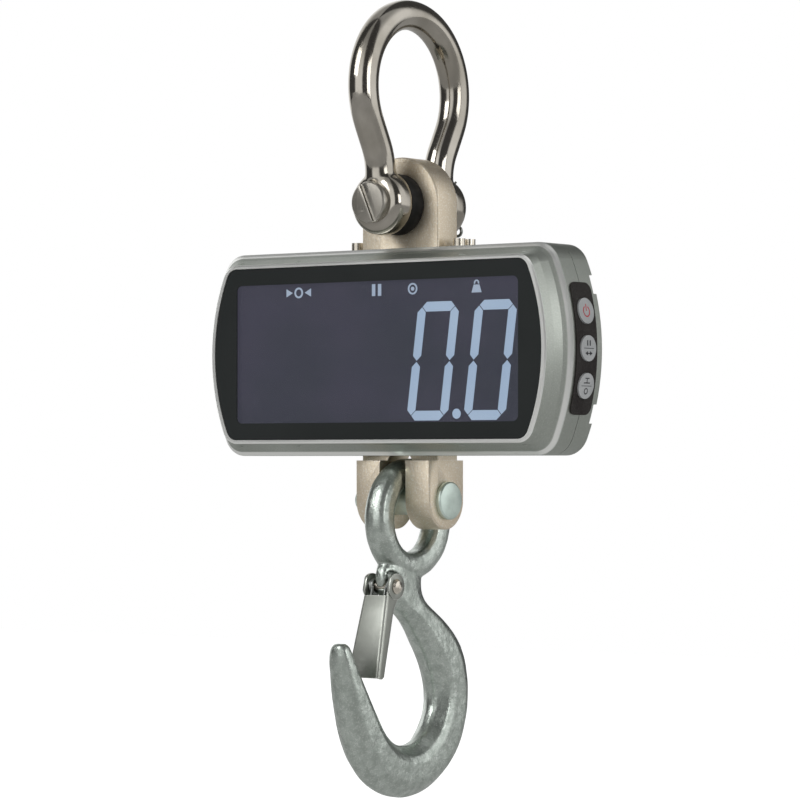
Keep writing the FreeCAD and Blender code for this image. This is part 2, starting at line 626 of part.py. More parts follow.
def key_frame(step, radius):
    """Placement on the side wall at a key, its Z pointing out of the wall."""
    turn = math.asin(step * S["key_pitch"] / S["half_width"])
    out = vec(math.cos(turn), 0, math.sin(turn))
    at = vec(0, -S["strip_back"] - S["strip_width"] / 2, MIDDLE) + out * radius
    return FreeCAD.Placement(at, FreeCAD.Rotation(Z, out)), out


def side_holes():
    """Stem holes and shallow seats in the side wall for the three keys."""
    tools = []
    for _, step in KEYS:
        for diameter, depth in (("5.4", 8.0), ("key_dia + 0.5", 0.9)):
            place, _ = key_frame(step, S["half_width"] - depth)
            tool = rod(diameter, "12", vec(0, 0, 0), Z)
            tool.Placement = place
            tools.append(tool)
    return tools


def cell_opening():
    return box("cell_width + 0.6", "cell_depth + 0.6", "160", vec(0, 0, MIDDLE))


def make_front_shell():
    owner = body("FrontShell")
    w, h, r, wall = S["half_width"], S["half_height"], S["corner"], S["wall"]
    split, rim, front = -S["split_depth"], -S["rim_depth"], -S["front_depth"]
    panel_w, panel_h = S["panel_half_width"], S["panel_half_height"]
    lip_w, lip_h = panel_w + S["lip_width"], panel_h + S["lip_width"] * 0.7
    pad(owner, sketch(owner, "Y", barrel(w, h, r), at=split, lift=MIDDLE),
        "rim_depth - split_depth - 1.0")
    loft_between(owner, [(rim + 1.0, w, h, r), (rim, w - 1.2, h - 1.2, r - 1.2)])
    loft_between(owner, [(rim, w - 1.2, h - 1.2, r - 1.2),
                         (rim - 2.6, w - 4.0, h - 3.4, r - 3.4),
                         (rim - 6.2, w - 6.7, h - 5.5, r - 5.6),
                         (front + 0.6, lip_w + 0.3, lip_h + 0.3, S["panel_corner"] + 2.6),
                         (front, lip_w - 0.5, lip_h - 0.5, S["panel_corner"] + 2.0)])
    pocket(owner, sketch(owner, "Y", barrel(panel_w + 0.15, panel_h + 0.15, S["panel_corner"]),
                         at=front, lift=MIDDLE), f"front_depth - {-SEAT}")
    inside = barrel(w - 8.2, h - 8.0, 6.0)
    pocket(owner, sketch(owner, "Y", inside, at=split, lift=MIDDLE),
           f"{-LEDGE_BACK} - split_depth", flip=True)
    deep = barrel(w - wall, h - wall, r - wall)
    pocket(owner, sketch(owner, "Y", deep, at=split, lift=MIDDLE), "rim_depth - split_depth + 0.5",
           flip=True)
    window = rounded(S["lcd_width"] / 2 + 0.4, S["lcd_height"] / 2 + 0.4, 0.5, 0, MIDDLE)
    pocket(owner, sketch(owner, "Y", window, at=front), "front_depth - 20")
    for x, z in SCREWS:
        pad(owner, sketch(owner, "Y", circle(4.0, x, z), at=split), f"{-LEDGE_BACK} - split_depth")
        pocket(owner, sketch(owner, "Y", circle(S["screw_dia"] / 2 + 0.1, x, z), at=split),
               "15", flip=True)
    for x, z in BOARD_FIXINGS:
        pad(owner, sketch(owner, "Y", circle(3.0, x, z), at=-21.5), f"{-LEDGE_BACK} - 21.5 + 0.2")
        pocket(owner, sketch(owner, "Y", circle(1.1, x, z), at=-21.5), "4", flip=True)
    return part(cut(owner, cell_opening(), *side_holes()), "front_shell")


DOOR = dict(x=-74.0, half_x=30.5, half_z=25.8)   # outboard of the spine, to lift straight off


def make_rear_shell():
    owner = body("RearShell")
    w, h, r, wall = S["half_width"], S["half_height"], S["corner"], S["wall"]
    split, back, spine = -S["split_depth"], S["back_depth"], S["spine_depth"]
    pad(owner, sketch(owner, "Y", barrel(w, h, r), at=split + 0.4, lift=MIDDLE),
        "back_depth + split_depth - 1.6", back=True)
    loft_between(owner, [(back - 1.2, w, h, r), (back, w - 1.3, h - 1.3, r - 1.3)])
    pad(owner, sketch(owner, "Y", rounded(S["spine_half"], h, 1.0, 0, MIDDLE), at=back - 1.3),
        "spine_depth - back_depth + 1.3", back=True)

    fillet(owner, "1.6", lambda e: abs(e.BoundBox.YMin - spine) < 0.01)
    hollow = barrel(w - wall, h - wall, r - wall)
    pocket(owner, sketch(owner, "Y", hollow, at=split + 0.4, lift=MIDDLE),
           "back_depth + split_depth - 0.4 - wall")
    pocket(owner, sketch(owner, "Y", rectangle(S["spine_half"] - wall, h - wall, 0, MIDDLE),
                         at=split + 1), "spine_depth + split_depth - 1 - wall")
    for side in (1, -1):
        z = MIDDLE + side * S["channel_pitch"] / 2
        for x in (1, -1):
            mid = (w + S["spine_half"]) / 2
            rib = rectangle(33.0, S["channel_height"] / 2 + 2.0, x * 72.5, z)
            pad(owner, sketch(owner, "Y", rib, at=back - wall), "channel_depth")
            slot = rectangle(mid, S["channel_height"] / 2, x * (S["spine_half"] + mid), z)
            pocket(owner, sketch(owner, "Y", slot, at=back + 0.1), "channel_depth + 0.1",
                   flip=True)
    for x, z in SCREWS:
        pad(owner, sketch(owner, "Y", circle(4.0, x, z), at=back - wall),
            "back_depth - wall + split_depth - 0.4")
        pocket(owner, sketch(owner, "Y", circle(S["screw_dia"] / 2 + 0.25, x, z), at=back + 1),
               "20", flip=True)
        pocket(owner, sketch(owner, "Y", circle(S["screw_head_dia"] / 2 + 0.3, x, z),
                             at=back + 1), "3.4", flip=True)
    door = rounded(DOOR["half_x"] + 0.3, DOOR["half_z"] + 0.3, 3.3, DOOR["x"], MIDDLE)
    pocket(owner, sketch(owner, "Y", door, at=back + 1), "wall + 2", flip=True)
    caps = [rod("4.3", "20", vec(x, y, MIDDLE + h - 10), Z) for x, y in cap_places()]
    return part(cut(owner, cell_opening(), *caps, *side_holes()), "rear_shell")


def make_shell_gasket():
    owner = body("ShellGasket")
    w, h, r = S["half_width"] - 0.7, S["half_height"] - 0.7, S["corner"] - 0.7
    at = -S["split_depth"] + 0.35
    pad(owner, sketch(owner, "Y", barrel(w, h, r), at=at, lift=MIDDLE), "0.3")
    pocket(owner, sketch(owner, "Y", barrel(w - 1.4, h - 1.4, r - 1.4), at=at + 1, lift=MIDDLE),
           "3", flip=True)
    return part(cut(owner, cell_opening(), *side_holes()), "shell_gasket")


def cap_places():
    return [(sx * S["cap_x"], y) for sx in (1, -1) for y in (-S["cap_front"], S["cap_back"])]


def make_top_fittings():
    top = MIDDLE + S["half_height"]
    caps = []
    for x, y in cap_places():
        head = rod("cap_dia", "cap_height", vec(x, y, top + 0.05), Z)
        shank = rod("3.9", "9", vec(x, y, top + 0.5), -Z)
        socket = doc.addObject("Part::Prism", scratch_name("Hex"))
        socket.Polygon = 6
        bind(socket, Circumradius="1.75", Height="4")
        socket.Placement = FreeCAD.Placement(vec(x, y, top + S["cap_height"] - 2.2),
                                             FreeCAD.Rotation())
        caps.append(cut(fuse(head, shank), socket))
    part(group(caps), "top_cap_screws")
    plate = box("76", "17.6", "4", vec(0, 2.6, top - S["wall"] - 2.1))
    tools = [rod("4.0", "10", vec(x, y, top - 9), Z) for x, y in cap_places()]
    part(cut(plate, cell_opening(), *tools), "top_clamp")
    low = box("76", "15", "4", vec(0, 1.5, -top + 2 * MIDDLE + S["wall"] + 2.1))
    part(cut(low, cell_opening()), "bottom_clamp")


def make_seals():
    for name, side in (("top_seal", 1), ("bottom_seal", -1)):
        z = MIDDLE + side * (S["half_height"] - S["wall"] - 4.1 - 0.9)
        frame = box("cell_width + 8", "cell_depth + 4.4", "1.6", vec(0, 0, z))
        hole = box("cell_width + 0.3", "cell_depth + 0.3", "6", vec(0, 0, z))
        part(cut(frame, hole), name)


def make_housing_screws():
    screws = []
    for x, z in SCREWS:
        head = rod("screw_head_dia", "2.0", vec(x, S["back_depth"] - 2.3, z), Y)
        shank = rod("screw_dia", "21", vec(x, S["back_depth"] - 2.2, z), -Y)
        cross = [box("3.4", "1.6", "0.8", vec(x, S["back_depth"] - 0.4, z)),
                 box("0.8", "1.6", "3.4", vec(x, S["back_depth"] - 0.4, z))]
        screws.append(cut(fuse(head, shank), *cross))
    part(group(screws), "housing_screws")


# ---------------------------------------------------------------- display
def make_display():
    w, h, r = S["panel_half_width"], S["panel_half_height"], S["panel_corner"]
    overlay = body("Overlay")
    pad(overlay, sketch(overlay, "Y", barrel(w, h, r), at=-30.5, lift=MIDDLE), "0.4")
    window = rounded(S["window_half_width"], S["window_half_height"], 3.2, 0, MIDDLE)
    pocket(overlay, sketch(overlay, "Y", window, at=-31), "2")
    part(overlay, "panel_overlay")
    lens = body("Lens")
    pad(lens, sketch(lens, "Y", barrel(w - 0.1, h - 0.1, r), at=SEAT, lift=MIDDLE),
        f"30.5 - {-SEAT}")
    part(lens, "display_lens")
    glass = box("lcd_width", "2.8", "lcd_height", vec(0, -26.7, MIDDLE))
    part(glass, "lcd_glass")
    part(box("lcd_width - 1", "3.6", "lcd_height - 1", vec(0, -23.4, MIDDLE)), "lcd_backlight")


def segment_bar(p, q, width):
    """A seven-segment bar with pointed ends between two points of the digit."""
    a, b = vec(*p, 0), vec(*q, 0)
    along = (b - a).normalize()
    side = vec(-along.y, along.x, 0) * (width / 2)
    a, b = vec(*p, 0) + along * 0.35, vec(*q, 0) - along * 0.35
    tip = along * (width / 2)
    return [a, a + tip + side, b - tip + side, b, b - tip - side, a + tip - side]


def make_digits():
    """The lit figures of the reading, two zeros with a point between them."""
    width, height, thick = S["digit_width"], S["digit_height"], S["segment"]
    slant = math.tan(math.radians(7.5))
    x0, x1 = -width / 2 + thick / 2, width / 2 - thick / 2
    y0, y1 = -height / 2 + thick / 2, height / 2 - thick / 2
    bars = [((x0, y1), (x1, y1)), ((x1, y1), (x1, 0)), ((x1, 0), (x1, y0)),
            ((x0, y0), (x1, y0)), ((x0, 0), (x0, y0)), ((x0, y1), (x0, 0))]
    solids = []
    for centre_x in (36.0, 71.3):
        for p, q in bars:
            ring = [vec(centre_x + c.x + c.y * slant, -28.2, MIDDLE - 5.3 + c.y)
                    for c in segment_bar(p, q, thick)]
            face = Part.Face(Part.makePolygon(ring + ring[:1]))
            solids.append(face.extrude(vec(0, -0.25, 0)))
    point = Part.makeCylinder(2.5, 0.25, vec(50.6, -28.2, MIDDLE - 31.8), -Y)
    return part(feature(Part.makeCompound(solids + [point])), "lcd_digits")


# ---------------------------------------------------------------- keypad
def make_keypad_strip():
    owner = body("KeypadStrip")
    inner, outer = S["half_width"] + 0.02, S["half_width"] + S["strip_thickness"]
    turn = math.asin(S["strip_height"] / 2 / S["half_width"])

    def at(radius, angle):
        return vec(radius * math.cos(angle), radius * math.sin(angle), 0)

    ring = [Part.Arc(at(inner, -turn), at(inner, 0), at(inner, turn)),
            Part.LineSegment(at(inner, turn), at(outer, turn)),
            Part.Arc(at(outer, turn), at(outer, 0), at(outer, -turn)),
            Part.LineSegment(at(outer, -turn), at(inner, -turn))]
    pad(owner, sketch(owner, "Y", ring, at=-S["strip_back"], lift=MIDDLE), "strip_width")

    def corner(edge):
        b = edge.BoundBox
        return b.YLength < 0.01 and b.DiagonalLength < 2 * S["strip_thickness"]

    fillet(owner, "4.2", corner)
    holes = []
    for _, step in KEYS:
        place, _ = key_frame(step, S["half_width"] - 2)
        hole = rod("key_dia + 0.4", "6", vec(0, 0, 0), Z)
        hole.Placement = place
        holes.append(hole)
    return part(cut(owner, *holes), "keypad_strip")


def make_keys():
    for name, step in KEYS:
        place, out = key_frame(step, S["half_width"] - 0.1)
        cap = rod("key_dia", "1.9", vec(0, 0, 0), Z)
        cap.Placement = place
        stem = rod("4.8", "6.6", place.Base + out * 0.3, -out)
        part(fuse(cap, stem), f"{name}_button")


def make_side_electronics():
    y = -S["strip_back"] - S["strip_width"] / 2
    part(box("1.6", "15", "60", vec(100.2, y, MIDDLE)), "switch_board")
    switches = []
    for _, step in KEYS:
        z = MIDDLE + step * S["key_pitch"] * 0.945
        base = box("3.6", "6.2", "6.2", vec(102.85, y, z))
        switches.append(fuse(base, rod("3.4", "1.6", vec(104.6, y, z), X)))
    part(group(switches), "tact_switches")


# ---------------------------------------------------------------- inside
def make_main_board():
    centre_y = -21.5 + S["board_thickness"] / 2
    plate = box("board_width", "board_thickness", "board_height", vec(0, centre_y, MIDDLE))
    holes = [rod("2.4", "8", vec(x, -25, z), Y) for x, z in BOARD_FIXINGS]
    part(cut(plate, *holes), "main_board")
    chips = []
    back = -21.5 + S["board_thickness"]
    for x, z, dx, dz, tall in ((-20, 12, 14, 14, 1.8), (18, -14, 9, 6, 1.6), (52, 16, 8, 5, 1.6),
                               (70, -18, 6, 6, 3.0), (-62, 26, 10, 7, 2.4), (34, 24, 7, 7, 4.2)):
        chips.append(box(dx, tall, dz, vec(x, back + tall / 2, MIDDLE + z)))
    for x in (62.0, 76.0):
        chips.append(rod("8", "9", vec(x, back, MIDDLE + 2), Y))
    part(group(chips), "board_components")
    screws = []
    for x, z in BOARD_FIXINGS:
        screws.append(fuse(rod("4.4", "1.6", vec(x, back + 0.02, z), Y),
                           rod("2.0", "4.6", vec(x, back + 0.1, z), -Y)))
    part(group(screws), "board_screws")


CELL_Y = -6.7


def make_battery():
    x0, half_x, half_z = DOOR["x"], DOOR["half_x"], DOOR["half_z"]
    outer = box("64", "15.2", "56", vec(x0, CELL_Y - 1.1, MIDDLE))
    inner = box("61.4", "15.2", "53.4", vec(x0, CELL_Y + 0.3, MIDDLE))
    part(cut(outer, inner), "battery_tray")
    cells, contacts = [], []
    for n in range(4):
        x = x0 + (n - 1.5) * S["cell_pitch"]
        low = MIDDLE - S["cell_length"] / 2 - 0.3
        cells.append(fuse(rod("cell_dia", "cell_length - 1", vec(x, CELL_Y, low), Z),
                          rod("5.2", "cell_length", vec(x, CELL_Y, low), Z)))
        for end in (1, -1):
            z = MIDDLE + end * 26.3
            contacts.append(box("9", "9", "0.5", vec(x, CELL_Y, z)))
    part(group(cells), "battery_cells")
    part(group(contacts), "battery_contacts")
    owner = body("BatteryDoor")
    back = S["back_depth"]
    plate = rounded(half_x, half_z, 3.0, x0, MIDDLE)
    pad(owner, sketch(owner, "Y", plate, at=back - 0.1), "wall - 0.3")
    for n in range(5):
        groove = rounded(8.0, 0.6, 0.5, x0, MIDDLE + 16 + n * 2.2)
        pocket(owner, sketch(owner, "Y", groove, at=back + 0.4), "1.1", flip=True)
    part(owner, "battery_door")


def make_inside_parts():
    x0 = DOOR["x"]
    buzzer = cut(rod("14", "8.5", vec(46, -18, MIDDLE - 24), Y),
                 rod("3", "3", vec(46, -11.5, MIDDLE - 24), Y))
    part(buzzer, "buzzer")
    part(box("18", "1.2", "30", vec(54, -8.0, MIDDLE + 20)), "receiver_board")
    coil = rod("4.2", "26", vec(70, -6, MIDDLE + 8), Z)
    part(cut(coil, rod("2.4", "30", vec(70, -6, MIDDLE + 6), Z)), "antenna_coil")
    part(tube([(25.4, 2.5, MIDDLE - 20), (32, 2.5, MIDDLE - 20), (37.5, -2, MIDDLE - 14.5),
               (38.5, -9.5, MIDDLE - 10), (36, -16.2, MIDDLE - 9.5)], 2.4), "load_cell_cable")
    lead = [(x0 + 32.4, -7, 22), (-36.0, -8.0, 22.6), (-31.0, -11.3, 20.8), (-28.4, -15.6, 18)]
    leads = [tube([(x, y, MIDDLE + z - drop) for x, y, z in lead], 1.5) for drop in (0.0, 3.4)]
    part(group(leads), "battery_leads")


def main():
    make_shackle_bow()
    make_shackle_pin()
    make_cotter_pin()
    make_spacer_washers()
    make_load_cell()
    make_strain_gauges()
    make_clevis_pin()
    make_hook()
    make_latch()
    make_latch_rivet()
    make_latch_spring()
    make_front_shell()
    make_rear_shell()
    make_shell_gasket()
    make_top_fittings()
    make_seals()
    make_housing_screws()
    make_display()
    make_digits()
    make_keypad_strip()
    make_keys()
    make_side_electronics()
    make_main_board()
    make_battery()
    make_inside_parts()
    doc.recompute()
    for obj in doc.Objects:
        if {"Invalid", "Error"} & set(obj.State):
            raise ValueError(f"{obj.Label} failed: {obj.State}")
    os.makedirs("parts", exist_ok=True)
    for obj in pieces:
        if obj.Shape.isNull() or not obj.Shape.isValid() or not obj.Shape.Solids:
            raise ValueError(f"{obj.Label} has no valid solid")
        obj.Shape.exportStep(f"parts/{obj.Label}.step")
        print(f"{obj.Label:24s} {obj.Shape.Volume / 1000:9.2f} cm3 {len(obj.Shape.Solids)} solids")


main()
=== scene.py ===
"""The looks of a hanging crane scale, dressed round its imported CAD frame.

The CAD bodies stay where they are.  Forged and bent parts get softened copies, the display and
the keys get their printed marks, and every node gets a procedural finish.  Metres throughout.
"""
import logging
import math
from dataclasses import dataclass, field
from enum import Enum

import bmesh
import bpy
from mathutils import Matrix, Vector, noise


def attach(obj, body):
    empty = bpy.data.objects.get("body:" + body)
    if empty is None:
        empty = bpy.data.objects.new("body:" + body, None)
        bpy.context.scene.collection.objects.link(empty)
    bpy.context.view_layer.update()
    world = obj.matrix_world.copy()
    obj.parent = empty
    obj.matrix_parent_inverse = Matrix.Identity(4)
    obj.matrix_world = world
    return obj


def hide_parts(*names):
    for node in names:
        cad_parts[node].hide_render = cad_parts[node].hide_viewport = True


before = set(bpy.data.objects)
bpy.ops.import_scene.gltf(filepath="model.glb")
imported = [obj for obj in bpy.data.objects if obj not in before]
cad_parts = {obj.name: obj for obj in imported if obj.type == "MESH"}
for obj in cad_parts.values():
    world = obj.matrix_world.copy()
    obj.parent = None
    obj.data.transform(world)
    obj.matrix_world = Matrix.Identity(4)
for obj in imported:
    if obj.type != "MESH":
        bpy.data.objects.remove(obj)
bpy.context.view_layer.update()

LOG = logging.getLogger("crane_scale")
MM = 0.001
MIDDLE_Z = -0.16595                 # height of the housing's centre
RIVET_YZ = (-0.0222, -0.2849)       # the latch's rivet
LATCH_LEAN = math.radians(14.8)
WELD_GAP = 2e-6                     # metres between points that are one
FLAT_ANGLE = math.radians(0.4)      # faces that differ by less are one face
CREASE_ANGLE = math.radians(32)     # sharper edges stay sharp in the shading
Colour = tuple[float, float, float, float]
Ring = list[tuple[float, float]]


def tint(code: str) -> Colour:
    """Turn a six-digit display colour into linear light.

    Args:
        code: The colour, as in "a9aea8".

    Returns:
        Red, green, blue and an alpha of one.
    """
    parts = [int(code[i:i + 2], 16) / 255 for i in (0, 2, 4)]
    linear = [c / 12.92 if c <= 0.04045 else ((c + 0.055) / 1.055) ** 2.4 for c in parts]
    return linear[0], linear[1], linear[2], 1.0


class Body(Enum):
    """The rigid bodies that pieces ride on."""

    SHACKLE = "shackle"
    SCALE = "scale"
    HOOK = "hook"
    LATCH = "latch"
    POWER = "power_key"
    HOLD = "hold_key"
    TARE = "tare_key"


# ------------------------------------------------------------------ shader building
class Graph:
    """A short way to place and link the nodes of one tree."""

    def __init__(self, tree: bpy.types.NodeTree) -> None:
        """Work on the given tree."""
        self.tree = tree

    def add(self, kind: str, **settings: object) -> bpy.types.Node:
        """Place a node.

        Args:
            kind: The node's type name.
            settings: Properties to set on it.

        Returns:
            The new node.
        """
        node = self.tree.nodes.new(kind)
        for name, value in settings.items():
            setattr(node, name, value)
        return node

    def feed(self, socket: bpy.types.NodeSocket, value: object) -> None:
        """Link a socket or set the number that it holds.

        Args:
            socket: The input to fill.
            value: Another node's output, or a plain value.
        """
        if isinstance(value, bpy.types.NodeSocket):
            self.tree.links.new(value, socket)
        else:
            socket.default_value = value

    def calc(self, operation: str, *values: object, clamp: bool = False) -> bpy.types.NodeSocket:
        """Place one Math node.

        Args:
            operation: What it works out.
            values: What it is fed with.
            clamp: Whether the result stays between nought and one.

        Returns:
            The result.
        """
        node = self.add("ShaderNodeMath", operation=operation, use_clamp=clamp)
        for socket, value in zip(node.inputs, values):
            self.feed(socket, value)
        return node.outputs[0]

    def step(self, value: object, low: float, high: float) -> bpy.types.NodeSocket:
        """Turn a value into a smooth rise.

        Args:
            value: What is looked at.
            low: Where the rise starts, at nought.
            high: Where it ends, at one.

        Returns:
            The risen value.
        """
        node = self.add("ShaderNodeMapRange", interpolation_type="SMOOTHSTEP")
        for name, item in (("Value", value), ("From Min", low), ("From Max", high)):
            self.feed(node.inputs[name], item)
        return node.outputs["Result"]

    def span(self, value: object, low: object, high: object) -> bpy.types.NodeSocket:
        """Stretch a value of nought to one.

        Args:
            value: What is stretched.
            low: The result at nought.
            high: The result at one.

        Returns:
            The stretched value.
        """
        node = self.add("ShaderNodeMapRange")
        for name, item in (("Value", value), ("To Min", low), ("To Max", high)):
            self.feed(node.inputs[name], item)
        return node.outputs["Result"]

    def blend(self, factor: object, a: object, b: object) -> bpy.types.NodeSocket:
        """Mix two colours.

        Args:
            factor: How far the mix has gone from a to b.
            a: The first colour.
            b: The second colour.

        Returns:
            The mixed colour.
        """
        node = self.add("ShaderNodeMix", data_type="RGBA")
        self.feed(node.inputs["Factor"], factor)
        self.feed(node.inputs[6], a)
        self.feed(node.inputs[7], b)
        return node.outputs[2]

    def place(self, scale: tuple[float, float, float] = (1, 1, 1)) -> bpy.types.NodeSocket:
        """Read the object's own coordinates.

        Args:
            scale: How much each axis is stretched.

        Returns:
            The coordinates.
        """
        where = self.add("ShaderNodeTexCoord").outputs["Object"]
        if scale == (1, 1, 1):
            return where
        node = self.add("ShaderNodeMapping")
        node.inputs["Scale"].default_value = scale
        self.feed(node.inputs["Vector"], where)
        return node.outputs[0]

    def axes(self) -> list[bpy.types.NodeSocket]:
        """Return the X, Y and Z of the object's own coordinates."""
        node = self.add("ShaderNodeSeparateXYZ")
        self.feed(node.inputs[0], self.place())
        return list(node.outputs)

    def cloud(self, where: object, scale: object, detail: float = 3.0) -> bpy.types.NodeSocket:
        """Read soft noise.

        Args:
            where: The place that is looked at.
            scale: How fine the noise is, per metre.
            detail: How many finer layers it has.

        Returns:
            The noise, about a half on average.
        """
        node = self.add("ShaderNodeTexNoise")
        node.inputs["Detail"].default_value = detail
        self.feed(node.inputs["Vector"], where)
        self.feed(node.inputs["Scale"], scale)
        return node.outputs["Fac"]


class Effects:
    """The surface effects that more than one finish uses, each a node group built once."""

    built: dict[str, bpy.types.NodeTree] = {}

    @classmethod
    def start(cls, name: str, inputs: dict[str, float],
              outputs: list[str]) -> tuple[Graph, object, object]:
        """Open a new group.

        Args:
            name: The group's name.
            inputs: Each input's name and usual value.
            outputs: The outputs' names.

        Returns:
            The graph, the group's input node and its output node.
        """
        tree = bpy.data.node_groups.new(name, "ShaderNodeTree")
        for label, value in inputs.items():
            made = tree.interface.new_socket(label, in_out="INPUT", socket_type="NodeSocketFloat")
            made.default_value = value
        for label in outputs:
            tree.interface.new_socket(label, in_out="OUTPUT", socket_type="NodeSocketFloat")
        graph = Graph(tree)
        cls.built[name] = tree
        return graph, graph.add("NodeGroupInput"), graph.add("NodeGroupOutput")

    @classmethod
    def grain(cls) -> bpy.types.NodeTree:
        """Make fine even grain, for blasted, painted and moulded surfaces.

        Returns:
            The group.
        """
        if "grain" in cls.built:
            return cls.built["grain"]
        graph, given, out = cls.start("grain", {"Scale": 1500.0}, ["Height", "Sparkle"])
        where = graph.place()
        fine = graph.cloud(where, given.outputs["Scale"], 2.0)
        flakes = graph.cloud(where, graph.calc("MULTIPLY", given.outputs["Scale"], 1.7), 0.0)
        graph.feed(out.inputs["Height"], fine)
        graph.feed(out.inputs["Sparkle"], graph.step(flakes, 0.56, 0.72))
        return cls.built["grain"]

    @classmethod
    def patches(cls) -> bpy.types.NodeTree:
        """Make broad uneven patches, as plating, handling and dust leave.

        Returns:
            The group.
        """
        if "patches" in cls.built:
            return cls.built["patches"]
        graph, given, out = cls.start("patches", {"Scale": 60.0}, ["Tone", "Spots"])
        where = graph.place()
        graph.feed(out.inputs["Tone"],
                   graph.step(graph.cloud(where, given.outputs["Scale"], 5.0), 0.32, 0.68))
        spots = graph.cloud(where, graph.calc("MULTIPLY", given.outputs["Scale"], 5.3), 4.0)
        graph.feed(out.inputs["Spots"], graph.step(spots, 0.58, 0.74))
        return cls.built["patches"]

    @classmethod
    def edges(cls) -> bpy.types.NodeTree:
        """Make a mask of the outer edges, a given radius wide, for a lighter edge colour that is
        partly wear and partly a painted highlight.

        Returns:
            The group.
        """
        if "edges" in cls.built:
            return cls.built["edges"]
        graph, given, out = cls.start("edges", {"Radius": 0.0006, "Break": 400.0}, ["Mask"])
        bevel = graph.add("ShaderNodeBevel", samples=4)
        graph.feed(bevel.inputs["Radius"], given.outputs["Radius"])
        dot = graph.add("ShaderNodeVectorMath", operation="DOT_PRODUCT")
        graph.feed(dot.inputs[0], bevel.outputs[0])
        graph.feed(dot.inputs[1], graph.add("ShaderNodeNewGeometry").outputs["Normal"])
        turn = graph.calc("SUBTRACT", 1.0, dot.outputs["Value"])
        rough = graph.cloud(graph.place(), given.outputs["Break"], 3.0)
        mask = graph.calc("MULTIPLY", graph.step(turn, 0.02, 0.12), graph.span(rough, 0.55, 1.35),
                          clamp=True)
        graph.feed(out.inputs["Mask"], mask)
        return cls.built["edges"]

    @classmethod
    def scratches(cls) -> bpy.types.NodeTree:
        """Make sparse hairlines in two directions, as polishing and use leave.

        Returns:
            The group.
        """
        if "scratches" in cls.built:
            return cls.built["scratches"]
        graph, given, out = cls.start("scratches", {"Scale": 1.0}, ["Mask"])
        lines = []
        for stretch in ((900.0, 900.0, 26.0), (40.0, 1100.0, 760.0)):
            value = graph.cloud(graph.place(stretch), given.outputs["Scale"], 1.0)
            offset = graph.calc("ABSOLUTE", graph.calc("SUBTRACT", value, 0.62))
            lines.append(graph.calc("SUBTRACT", 1.0, graph.step(offset, 0.004, 0.016)))
        graph.feed(out.inputs["Mask"], graph.calc("MAXIMUM", *lines))
        return cls.built["scratches"]


@dataclass(frozen=True)
class Finish:
    """A metal, paint, rubber or plastic surface with grain, patches, hairlines and lighter edges,
    partly worn and partly a painted highlight.
    """

    name: str
    colour: str
    shade: str
    metallic: float = 0.0
    roughness: float = 0.5
    rough_spread: float = 0.12
    patch_scale: float = 60.0
    spot_shade: float = 0.0
    grain_scale: float = 1500.0
    grain_depth: float = 0.02       # millimetres
    sparkle: float = 0.0
    relief_scale: float = 0.0
    relief_depth: float = 0.0       # millimetres
    hairlines: float = 0.0
    # lighter edge colour: partly wear, partly a painted highlight
    edge: str = ""
    edge_width: float = 0.6         # millimetres
    edge_gain: float = 0.8
    coat: float = 0.0
    coat_roughness: float = 0.1
    specular: float = 0.5

    def group(self, graph: Graph, tree: bpy.types.NodeTree, **values: float) -> bpy.types.Node:
        """Place an effect in the material.

        Args:
            graph: The material's graph.
            tree: The effect's group.
            values: The effect's values in this finish.

        Returns:
            The group's node.
        """
        node = graph.add("ShaderNodeGroup")
        node.node_tree = tree
        for name, value in values.items():
            node.inputs[name].default_value = value
        return node

    def bands(self, graph: Graph, colour: object, rough: object) -> tuple[object, object]:
        """Let a special finish repaint parts of the surface; the plain one has none."""
        return colour, rough

    def material(self) -> bpy.types.Material:
        """Build the finish's material the first time it is asked for.

        Returns:
            The material.
        """
        if self.name in bpy.data.materials:
            return bpy.data.materials[self.name]
        made = bpy.data.materials.new(self.name)
        made.use_nodes = True
        graph = Graph(made.node_tree)
        shader = made.node_tree.nodes["Principled BSDF"]
        shader.inputs["Metallic"].default_value = self.metallic
        shader.inputs["Coat Weight"].default_value = self.coat
        shader.inputs["Coat Roughness"].default_value = self.coat_roughness
        shader.inputs["Specular IOR Level"].default_value = self.specular
        grain = self.group(graph, Effects.grain(), Scale=self.grain_scale)
        patches = self.group(graph, Effects.patches(), Scale=self.patch_scale)
        tone, spots = patches.outputs["Tone"], patches.outputs["Spots"]
        colour = graph.blend(tone, tint(self.shade), tint(self.colour))
        rough = graph.span(tone, self.roughness + self.rough_spread, self.roughness)
        if self.spot_shade:
            dark = graph.calc("MULTIPLY", spots, self.spot_shade)
            colour = graph.blend(dark, colour, tint(self.shade))
            rough = graph.calc("ADD", rough, graph.calc("MULTIPLY", spots, 0.1))
        if self.sparkle:
            flakes = graph.calc("MULTIPLY", grain.outputs["Sparkle"], self.sparkle)
            colour = graph.blend(flakes, colour, (1.0, 1.0, 0.98, 1.0))
        if self.hairlines:
            lines = self.group(graph, Effects.scratches(), Scale=1.0)
            worn = graph.calc("MULTIPLY", lines.outputs["Mask"], self.hairlines)
            rough = graph.calc("ADD", rough, worn, clamp=True)
        # lighter edges: partly wear, partly a painted highlight
        if self.edge:
            edges = self.group(graph, Effects.edges(), Radius=self.edge_width * MM)
            worn = graph.calc("MULTIPLY", edges.outputs["Mask"], self.edge_gain)
            colour = graph.blend(worn, colour, tint(self.edge))
        colour, rough = self.bands(graph, colour, rough)
        graph.feed(shader.inputs["Base Color"], colour)
        graph.feed(shader.inputs["Roughness"], rough)
        bump = graph.add("ShaderNodeBump")
        bump.inputs["Distance"].default_value = self.grain_depth * MM
        graph.feed(bump.inputs["Height"], grain.outputs["Height"])
        if self.relief_depth:
            relief = graph.add("ShaderNodeBump")
            relief.inputs["Distance"].default_value = self.relief_depth * MM
            graph.feed(relief.inputs["Height"], graph.cloud(graph.place(), self.relief_scale, 4.0))
            graph.feed(bump.inputs["Normal"], relief.outputs[0])
        graph.feed(shader.inputs["Normal"], bump.outputs[0])
        return made


